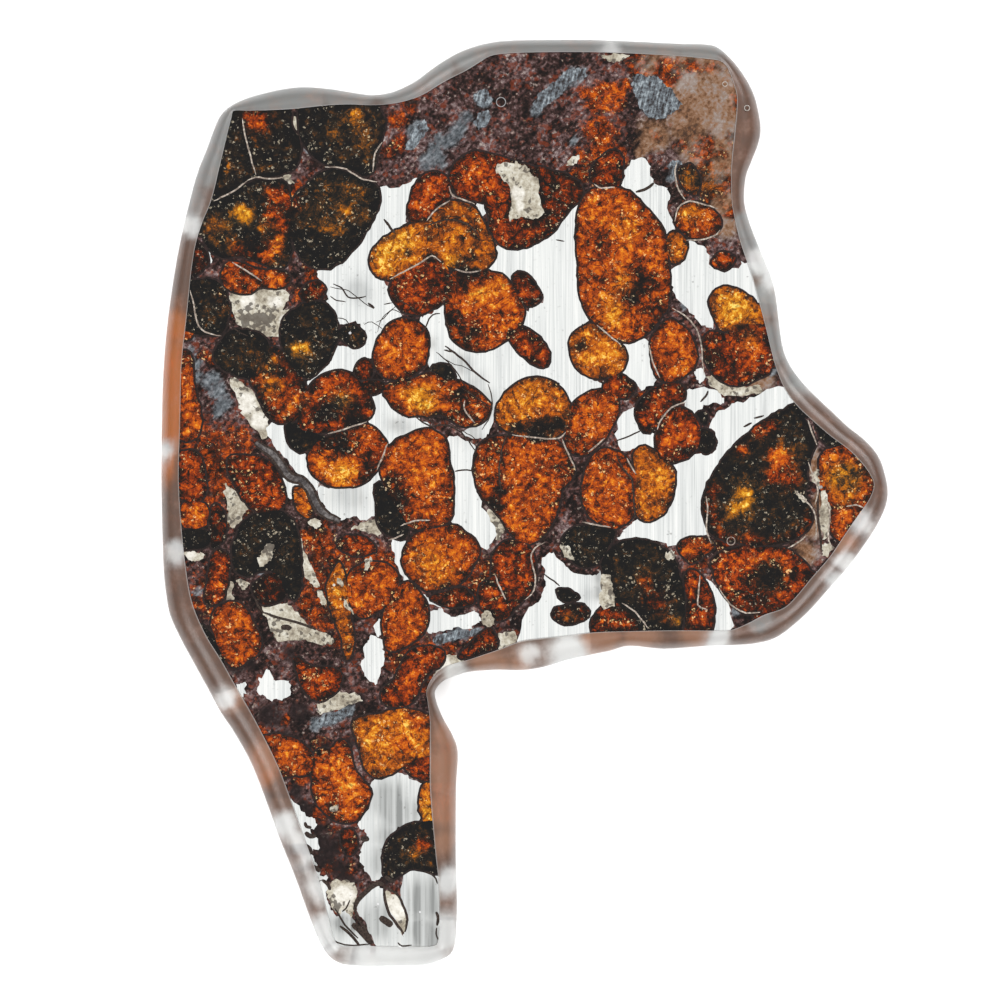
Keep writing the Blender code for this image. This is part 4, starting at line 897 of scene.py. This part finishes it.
# The dark oxide
# The rest of the metal has rusted to dark purple-brown oxide, with blue-grey clouds under the polish and
# crumbs of red-brown olivine caught in it.
BLUE_SPOTS = [(536, 107, 8), (545, 98, 8), (553, 90, 8), (562, 83, 9), (572, 76, 9), (582, 72, 7),
              (640, 84, 8), (648, 92, 11), (658, 100, 12), (668, 104, 9), (652, 108, 9), (482, 96, 9),
              (486, 102, 7), (434, 152, 11), (444, 144, 10), (424, 158, 9), (454, 132, 9), (462, 122, 9),
              (412, 135, 8), (420, 128, 8), (214, 386, 12), (224, 406, 11), (441, 160, 9), (430, 162, 8),
              (450, 140, 8), (425, 168, 7), (318, 722, 8), (330, 718, 9), (345, 712, 8), (438, 640, 6),
              (450, 636, 7), (462, 634, 7), (476, 632, 6), (193, 350, 6), (196, 365, 7), (200, 380, 7),
              (212, 393, 8), (222, 398, 8), (218, 410, 7), (190, 335, 6), (305, 118, 9), (315, 128, 9),
              (300, 140, 8), (310, 150, 8), (262, 570, 6), (278, 570, 7), (676, 170, 6), (672, 178, 6),
              (773, 372, 7), (708, 590, 5), (735, 612, 6), (197, 590, 6), (574, 142, 5), (468, 118, 8),
              (458, 128, 7), (686, 290, 5), (686, 304, 5)]
HAZE_SPOTS = [(650, 60, 22), (680, 62, 22), (710, 66, 22), (728, 80, 20), (690, 90, 24), (720, 110, 26),
              (690, 120, 24), (725, 140, 24), (695, 150, 20), (720, 170, 20), (722, 200, 18),
              (740, 120, 24), (742, 160, 22), (725, 225, 14), (655, 135, 18), (640, 62, 14),
              (742, 195, 20), (818, 465, 12), (820, 500, 9), (815, 530, 12), (806, 555, 12),
              (765, 380, 10), (812, 455, 10), (645, 150, 8)]
CRUMB_SPOTS = [(600, 98, 14), (615, 95, 12), (590, 128, 10), (583, 90, 9), (590, 101, 6), (605, 96, 9),
               (618, 104, 8), (622, 88, 8), (592, 122, 8), (588, 137, 7), (598, 142, 7), (610, 150, 10),
               (622, 152, 8), (610, 172, 9), (600, 180, 8), (585, 162, 9), (577, 175, 8), (636, 70, 9),
               (397, 142, 8), (389, 152, 7), (705, 70, 8), (684, 145, 6), (735, 101, 4), (655, 132, 7),
               (668, 72, 7), (712, 140, 9), (710, 181, 13), (723, 191, 8), (186, 460, 12), (192, 480, 12),
               (196, 500, 10), (205, 455, 9), (216, 466, 11), (223, 480, 10), (236, 470, 12),
               (250, 470, 14), (263, 482, 12), (256, 496, 12), (272, 502, 11), (228, 456, 9),
               (218, 522, 9), (216, 538, 9), (245, 448, 10), (235, 438, 12), (310, 540, 12),
               (321, 530, 10), (330, 562, 11), (350, 566, 11), (316, 600, 11), (325, 620, 10),
               (338, 640, 9), (388, 560, 10), (380, 580, 12), (405, 660, 14), (430, 660, 14),
               (420, 675, 10), (320, 745, 8), (335, 830, 6), (345, 845, 8), (360, 790, 9), (352, 812, 9),
               (318, 815, 8), (262, 260, 14), (250, 275, 12), (232, 270, 10), (205, 282, 10),
               (222, 300, 9), (224, 312, 8), (305, 295, 12), (318, 285, 9), (212, 360, 8), (205, 355, 8),
               (205, 430, 12), (190, 440, 10), (215, 440, 10), (205, 600, 10), (212, 612, 10),
               (500, 560, 9), (487, 572, 12), (480, 590, 12), (470, 575, 10), (560, 470, 8),
               (290, 200, 9), (300, 190, 8), (690, 575, 9), (672, 560, 6), (700, 565, 8), (770, 545, 10),
               (745, 545, 10), (725, 545, 8), (398, 120, 9), (410, 105, 9), (345, 745, 8), (285, 720, 6),
               (262, 735, 8), (640, 400, 8), (480, 655, 10), (450, 650, 9), (455, 585, 8), (470, 640, 8),
               (303, 780, 8), (330, 870, 7), (350, 868, 7), (230, 465, 30), (205, 490, 26),
               (255, 485, 26), (330, 565, 30), (320, 605, 24), (205, 595, 20), (420, 665, 26),
               (380, 570, 22), (490, 580, 24), (600, 130, 18), (610, 160, 18), (670, 70, 16),
               (715, 185, 22), (640, 60, 16), (700, 150, 16), (690, 66, 10), (735, 104, 8),
               (742, 150, 12), (730, 212, 10), (722, 155, 10), (706, 168, 9), (733, 138, 8),
               (704, 200, 8), (716, 66, 8), (205, 440, 20), (320, 280, 20), (262, 268, 22)]
SOOT_SPOTS = [(330, 845, 14), (318, 828, 9), (340, 868, 12), (352, 880, 9), (296, 793, 9), (306, 808, 9),
              (325, 860, 12), (270, 715, 14), (300, 712, 12), (290, 652, 10), (322, 742, 9),
              (286, 736, 8), (250, 662, 8), (352, 742, 8), (356, 700, 10), (236, 668, 8), (345, 655, 8),
              (200, 615, 8), (540, 540, 8), (600, 545, 8), (385, 885, 8)]
CRUMB_TONE = 0.4
CRUMB_GOLD = 0.1
oxide_finish, shader, where = start_material("iron_oxide")
oxide_broad = cloud(where, 0.45, 4.0, 0.6)
oxide_grain = cloud(where, 2.6, 6.0, 0.72)
wisp_lean = where.make("ShaderNodeMapping", {}, {"Vector": where, "Rotation": (0, 0, -0.8)})
wisps = cloud(wisp_lean, 1.0, 4.0, 0.6, (0.5, 2.4, 1.0))
oxide_base = ramp(oxide_broad * 1.2 + oxide_grain * 1.7 + wisps * 0.7 + 0.5, [
    (0.22, (0.004, 0.003, 0.003)), (0.40, (0.011, 0.006, 0.005)), (0.54, (0.032, 0.016, 0.0145)),
    (0.68, (0.070, 0.041, 0.040)), (0.85, (0.155, 0.120, 0.116)), (1.0, (0.26, 0.23, 0.22))])
oxide_flecks = stepped(grains(where, 4.2) + oxide_grain * 1.4 + oxide_broad * 0.5, 0.97, 1.10) * 0.65
flecked = blend(oxide_flecks, oxide_base, (0.26, 0.22, 0.19))
rust_grain = stepped(grains(where, 2.6) + oxide_broad * 1.8 + oxide_grain * 0.9, 0.78, 1.0) * 0.65
rusty = blend(rust_grain, flecked, (0.095, 0.016, 0.004))
crumb_colour, crumb_bumps = olivine_colour(where, mark(where, "tone"))
crumb_share = mark(where, "crumb") + cloud(where, 1.3) * 1.6 + oxide_grain * 1.2
crumbed = blend(stepped(crumb_share, 0.2, 0.7) * 0.9, rusty, crumb_colour)
mist_tint = ramp(oxide_grain * 1.1 + oxide_broad * 1.4 + wisps * 0.5 + 0.5, [
    (0.20, (0.050, 0.026, 0.016)), (0.36, (0.130, 0.062, 0.030)), (0.50, (0.185, 0.108, 0.066)),
    (0.62, (0.175, 0.130, 0.105)), (0.80, (0.21, 0.185, 0.165))])
mist = mark(where, "mist") - mark(where, "crumb") * 0.65 + cloud(where, 0.9, 3.0) * 0.8
soot = stepped(mark(where, "soot") * 0.8 + oxide_grain * 1.8, 0.25, 0.75) * 0.85
sooty = blend(soot, crumbed, (0.009, 0.006, 0.006))
hazed = blend(stepped(mist + wisps * 0.6, 0.1, 0.8) * 0.78, sooty, mist_tint)
blue_tint = ramp(oxide_grain + wisps * 0.6 + 0.5, [
    (0.3, (0.022, 0.024, 0.027)), (0.5, (0.068, 0.078, 0.086)), (0.75, (0.18, 0.20, 0.215))])
clouded = blend(stepped(mark(where, "blue") + oxide_grain * 1.1 + wisps, 0.3, 0.9) * 0.85, hazed, blue_tint)
paint(shader, {"Roughness": oxide_grain * 0.3 + 0.4, "Base Color": with_edge(where, clouded),
               "Specular IOR Level": 0.1,
               "Normal": relief(where, oxide_grain + crumb_bumps * 0.3, 0.25, 0.00005)})
plan("oxide_matrix", [border], oxide_finish, "metal", drop=0.03 * MM, replaces="metal_matrix",
     marks={"tone": pulled(CRUMB_TONE, TONE_SPOTS), "gold": pulled(CRUMB_GOLD, GOLD_SPOTS),
            "crumb": spotted(CRUMB_SPOTS), "blue": spotted(BLUE_SPOTS), "mist": spotted(HAZE_SPOTS),
            "soot": spotted(SOOT_SPOTS), **shared_marks})

# Cutting the slice
# One flat map holds every outline, so that neighbours share their border exactly, as they do in the stone.
# Each piece takes its triangles of the map and goes down through the slice, out to the foot of the slope.
SCATTER = 4.6
SCATTER_SHAKE = 1.3
CLEAR_OF_LINES = 2.0
BEVEL_WIDTH = 1.0 * UNIT
BEVEL_DEPTH = 0.07 * MM
SHAKE_SEED = 7
INSIDE_OUTLINES = 1
MERGE_REACH = 1e-4
END_SLACK = 0.01
ON_BORDER = 2e-6
JUST_INSIDE = 1e-6

map_points = []
map_faces = []
owner_plans = []
for index, piece in enumerate(plans + [{"outlines": [shifted(border, -BEVEL_WIDTH)]}]):
    for outline in piece["outlines"]:
        first = len(map_points)
        map_points.extend(Vector((point.x / UNIT, point.y / UNIT)) for point in outline)
        map_faces.append(list(range(first, len(map_points))))
        owner_plans.append(index)

outline_tree = kdtree.KDTree(len(map_points))
for index, point in enumerate(map_points):
    outline_tree.insert((point.x, point.y, 0), index)
outline_tree.balance()
shake = random.Random(SHAKE_SEED)
west = min(point.x for point in border) / UNIT
south = min(point.y for point in border) / UNIT
columns = int((max(point.x for point in border) / UNIT - west) / SCATTER)
rows = int((max(point.y for point in border) / UNIT - south) / SCATTER)
for row in range(rows + 1):
    for column in range(columns + 1):
        x = west + (column + 0.5 * (row % 2)) * SCATTER + shake.uniform(-SCATTER_SHAKE, SCATTER_SHAKE)
        y = south + row * SCATTER + shake.uniform(-SCATTER_SHAKE, SCATTER_SHAKE)
        if outline_tree.find((x, y, 0))[2] > CLEAR_OF_LINES:
            map_points.append(Vector((x, y)))
flat_map = geometry.delaunay_2d_cdt(map_points, [], map_faces, INSIDE_OUTLINES, MERGE_REACH, True)
flat_points, _, flat_faces, _, _, flat_owners = flat_map

slice_index = len(plans) - 1
grounds = [[] for _ in plans]
for triangle, owners in zip(flat_faces, flat_owners):
    indexes = [owner_plans[owner] for owner in owners]
    if slice_index in indexes:
        grounds[min(indexes)].append(triangle)

border_tree = kdtree.KDTree(len(border))
for index, point in enumerate(border):
    border_tree.insert(point, index)
border_tree.balance()


def slope_below(point):
    """How far out the slope's foot lies from this point, or nothing if it isn't on the border."""
    for _, index, _ in border_tree.find_n(point, 2):
        for first in (index - 1, index):
            after = (first + 1) % len(border)
            near, share = geometry.intersect_point_line(point, border[first], border[after])
            if -END_SLACK <= share <= 1 + END_SLACK and (near - point).length < ON_BORDER:
                return (foot[first] - border[first]).lerp(foot[after] - border[after], share)
    return None


def set_in_place(name, shape, finish, slot):
    """The finished piece made from this shape. All pieces lie still in the one body."""
    mesh = bpy.data.meshes.new(name)
    shape.to_mesh(mesh)
    shape.free()
    mesh.materials.append(finish)
    built = bpy.data.objects.new(name, mesh)
    bpy.context.scene.collection.objects.link(built)
    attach(built, "root")
    return built


def raise_piece(piece, triangles):
    """A solid over these triangles of the map, from the lower face to just under the polish."""
    shape = bmesh.new()
    layers = {name: shape.verts.layers.float.new(name) for name in piece["marks"]}
    corners = {}
    for triangle in triangles:
        for index in triangle:
            if index not in corners:
                flat = flat_points[index]
                corners[index] = shape.verts.new((flat.x * UNIT, flat.y * UNIT, 0))
        shape.faces.new([corners[index] for index in triangle])
    rim = [vert for vert in shape.verts if vert.is_boundary]
    rim_tree = kdtree.KDTree(len(rim))
    for index, vert in enumerate(rim):
        rim_tree.insert(vert.co, index)
    rim_tree.balance()
    slopes = {vert: slope_below(vert.co) for vert in rim}
    bevelled = {tuple(vert.co) for vert, slope in slopes.items() if slope is not None}
    lifted = bmesh.ops.extrude_face_region(shape, geom=shape.faces[:])["geom"]
    for vert in lifted:
        if isinstance(vert, bmesh.types.BMVert):
            lowering = BEVEL_DEPTH if tuple(vert.co) in bevelled else 0
            vert.co.z = FACE_HEIGHT - piece["drop"] - lowering
    for vert in shape.verts:
        level = Vector((vert.co.x, vert.co.y, 0))
        depth = rim_tree.find(level)[2]
        if slopes.get(vert) is not None:
            vert.co += slopes[vert]
            level += slopes[vert]
            depth = 0
        elif depth == 0 and piece["marks"]:
            depth = JUST_INSIDE
        for name, measure in piece["marks"].items():
            vert[layers[name]] = measure(level, depth)
    bmesh.ops.recalc_face_normals(shape, faces=shape.faces)
    built = set_in_place(piece["name"], shape, piece["finish"], piece["slot"])
    if piece["replaces"]:
        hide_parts(piece["replaces"])


for piece, triangles in zip(plans, grounds):
    raise_piece(piece, triangles)

# The resin edge
# Clear casting resin is brushed round the ground edge and cures to a rounded lip, frosted by fine grinding.
# It grips the slope, and its inner wall is set a little into the stone so that no gap shows. The profile
# gives shares of the way out from the face's border, and of the height.
RESIN_HOLD = 0.06 * MM
INNER_TOP = 0.9
CREASE_ANGLE = math.radians(50)
RESIN_PROFILE = [(0.0, 0.99), (0.05, 0.985), (0.2, 0.975), (0.45, 0.94), (0.72, 0.82), (0.93, 0.6),
                 (1.0, 0.38), (0.975, 0.12), (0.93, 0.0)]
resin_finish, shader, where = start_material("clear_resin")
scratch_lean = where.make("ShaderNodeMapping", {}, {"Vector": where, "Rotation": (0, 0, 0.6)})
scratches = cloud(scratch_lean, 1.0, 3.0, 0.6, (9.0, 0.5, 1.0))
cast = cloud(where, 0.5, 3.0) * 0.7 + cloud(where, 2.5, 3.0) * 0.25
brown_or_grey = blend(stepped(mark(where, "cool") * 1.4 + cast, 0.0, 1.0), (0.20, 0.11, 0.075),
                      (0.37, 0.375, 0.365))
or_amber = blend(stepped(mark(where, "warm") + cast, -0.1, 1.0) * 0.9, brown_or_grey, (0.74, 0.22, 0.045))
or_peach = blend(stepped(mark(where, "peach") + cast, -0.1, 1.0) * 0.9, or_amber, (0.55, 0.27, 0.155))
# Nearly white where the edge shows bright metal and painted highlights
or_metal_and_highlight = blend(stepped(mark(where, "shine") + cast * 0.9, 0.0, 0.95), or_peach, (0.93, 0.93, 0.915))
# Pale along the face's border: a painted highlight line on the resin's inner edge
paint(shader, {"Base Color": blend(mark(where, "lip_highlight") * 0.7, or_metal_and_highlight, (0.85, 0.84, 0.82)),
               "Roughness": cloud(where, 1.2) * 0.1 + 0.3, "IOR": 1.5, "Transmission Weight": 0.72,
               "Specular IOR Level": 0.4,
               "Normal": relief(where, scratches + cloud(where, 0.7, 3.0) * 2, 0.2, 0.00005)})
resin_looks = {
    "cool": spotted([(215, 130, 26), (230, 100, 24), (260, 92, 24), (300, 92, 30), (350, 92, 26),
                     (400, 85, 26), (430, 65, 24), (470, 48, 26), (510, 42, 26), (550, 42, 26),
                     (600, 42, 30), (650, 44, 30), (700, 46, 26), (185, 200, 20), (200, 165, 22),
                     (755, 255, 22), (765, 300, 18), (780, 340, 22), (805, 370, 24), (760, 620, 10),
                     (745, 225, 14)]),
    "warm": spotted([(168, 330, 22), (166, 365, 30), (164, 405, 30), (164, 435, 22), (167, 470, 12),
                     (300, 690, 6), (262, 775, 12), (215, 610, 6)]),
    "peach": spotted([(600, 645, 20), (640, 640, 20), (700, 632, 20), (450, 770, 26), (450, 810, 24),
                      (452, 735, 20), (232, 700, 14), (262, 760, 20), (490, 668, 20), (520, 664, 12),
                      (845, 545, 12), (447, 840, 16)]),
    "shine": metal_and_painted_highlights}
shape = bmesh.new()
layers = {name: shape.verts.layers.float.new(name) for name in ("lip_highlight", *resin_looks)}
rings = []
for share, height in RESIN_PROFILE:
    ring = []
    for start, outer in zip(border, widest):
        spot = start.lerp(outer, share)
        vert = shape.verts.new((spot.x, spot.y, height * FACE_HEIGHT))
        vert[layers["lip_highlight"]] = 1 if share == 0 else 0
        for name, measure in resin_looks.items():
            vert[layers[name]] = measure(spot, 0)
        ring.append(vert)
    rings.append(ring)
for loop, height in ((foot, 0.0), (border, INNER_TOP)):
    inner = shifted(loop, -RESIN_HOLD)
    rings.append([shape.verts.new((point.x, point.y, height * FACE_HEIGHT)) for point in inner])
for upper, lower in zip(rings, rings[1:] + rings[:1]):
    for index in range(len(upper)):
        shape.faces.new((upper[index - 1], lower[index - 1], lower[index], upper[index]))
bmesh.ops.recalc_face_normals(shape, faces=shape.faces)
for face in shape.faces:
    face.smooth = True
resin = set_in_place("clear_resin_edge", shape, resin_finish, "resin")
resin.data.set_sharp_from_angle(angle=CREASE_ANGLE)
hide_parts("resin_edge")

# The bubbles
# A few small bubbles stayed in the clear resin, open ones as rings and closed ones as pale beads. Each is
# sunk in what lies under it. Its row gives x, y, radius, a ring's half thickness and its colour.
RINGS = [(501, 102, 4.6, 0.6, (0.20, 0.20, 0.20)), (669, 534, 3.8, 1.3, (0.02, 0.012, 0.01)),
         (725, 84, 2.4, 0.5, (0.30, 0.27, 0.24)), (747, 108, 2.6, 0.5, (0.30, 0.27, 0.24)),
         (731, 541, 4.0, 0.7, (0.20, 0.15, 0.12))]
BEADS = [(821, 487, 3.2, 0, (0.22, 0.22, 0.21)), (378, 904, 1.8, 0, (0.5, 0.5, 0.5)),
         (420, 912, 2.0, 0, (0.5, 0.5, 0.5)), (334, 585, 2.4, 0, (0.45, 0.42, 0.36)),
         (350, 333, 2.2, 0, (0.5, 0.5, 0.5))]
RING_STEPS = 20
TUBE_SIDES = 6
BEAD_HEIGHT_TO_WIDTH = 0.3
DARKER = 0.6
for number, (x, y, radius, thickness, colour) in enumerate(RINGS + BEADS):
    bubble_finish, shader, where = start_material("bubble_" + str(number))
    darker = tuple(level * DARKER for level in colour)
    paint(shader, {"Roughness": 0.3,
                   "Base Color": blend(stepped(cloud(where, 3.0) + 0.5, 0.2, 0.8), colour, darker),
                   "Normal": relief(where, cloud(where, 6.0), 0.1, 0.00002)})
    shape = bmesh.new()
    if number < len(RINGS):
        turns = []
        for step in range(RING_STEPS):
            angle = math.tau * step / RING_STEPS
            tube = []
            for corner in range(TUBE_SIDES):
                lean = math.tau * corner / TUBE_SIDES
                reach = radius + thickness * math.cos(lean)
                height = FACE_HEIGHT / UNIT - thickness + thickness * math.sin(lean)
                tube.append(shape.verts.new(place(x + reach * math.cos(angle), y + reach * math.sin(angle))
                                            + Vector((0, 0, height * UNIT))))
            turns.append(tube)
        for first, second in zip(turns, turns[1:] + turns[:1]):
            for corner in range(TUBE_SIDES):
                shape.faces.new((first[corner - 1], second[corner - 1], second[corner], first[corner]))
    else:
        bmesh.ops.create_uvsphere(shape, u_segments=16, v_segments=8, radius=radius * UNIT)
        for vert in shape.verts:
            below_top = (vert.co.z - radius * UNIT) * BEAD_HEIGHT_TO_WIDTH
            vert.co = place(x, y) + Vector((vert.co.x, vert.co.y, FACE_HEIGHT + below_top))
    bmesh.ops.recalc_face_normals(shape, faces=shape.faces)
    for face in shape.faces:
        face.smooth = True
    set_in_place("bubble_" + str(number), shape, bubble_finish, "resin")

# The table, light and camera
# The slice lies loose on a pale table under a white sky and four soft panels. The camera looks straight down
# and sees the whole drawing sheet.
FLOOR_REACH = 2.0
SKY_STRENGTH = 0.57
PANEL_SIZE = 0.5
PANEL_POWER = 5.9
PANEL_HEIGHT = 0.7
PANEL_OUT = 0.5
CAMERA_HEIGHT = 1.0
SENSOR_WIDTH = 36
SHEET_SIDE = 1000
floor_mesh = bpy.data.meshes.new("floor")
shape = bmesh.new()
bmesh.ops.create_grid(shape, x_segments=1, y_segments=1, size=FLOOR_REACH)
shape.to_mesh(floor_mesh)
shape.free()
floor = bpy.data.objects.new("floor", floor_mesh)
bpy.context.scene.collection.objects.link(floor)
floor_finish, shader, where = start_material("floor")
paint(shader, {"Base Color": (0.93, 0.93, 0.93, 1), "Roughness": 0.9})
floor_mesh.materials.append(floor_finish)

world = bpy.data.worlds.new("studio")
bpy.context.scene.world = world
world.use_nodes = True
world.node_tree.nodes["Background"].inputs["Color"].default_value = (1, 1, 1, 1)
world.node_tree.nodes["Background"].inputs["Strength"].default_value = SKY_STRENGTH
bpy.context.scene.view_settings.view_transform = "Standard"

for name, east, north in (("north_west", -1, 1), ("north_east", 1, 1), ("south_east", 1, -1),
                          ("south_west", -1, -1)):
    light = bpy.data.lights.new(name, "AREA")
    light.size = PANEL_SIZE
    light.energy = PANEL_POWER
    panel = bpy.data.objects.new(name, light)
    panel.location = (east * PANEL_OUT, north * PANEL_OUT, PANEL_HEIGHT)
    panel.rotation_euler = (-panel.location).to_track_quat("-Z", "Y").to_euler()
    bpy.context.scene.collection.objects.link(panel)

camera_data = bpy.data.cameras.new("camera")
camera_data.sensor_width = SENSOR_WIDTH
camera_data.lens = SENSOR_WIDTH * (CAMERA_HEIGHT - FACE_HEIGHT) / (SHEET_SIDE * UNIT)
camera_data.clip_start = 0.01
camera = bpy.data.objects.new("camera", camera_data)
camera.location = place(SHEET_SIDE / 2, SHEET_SIDE / 2) + Vector((0, 0, CAMERA_HEIGHT))
bpy.context.scene.collection.objects.link(camera)
bpy.context.scene.camera = camera
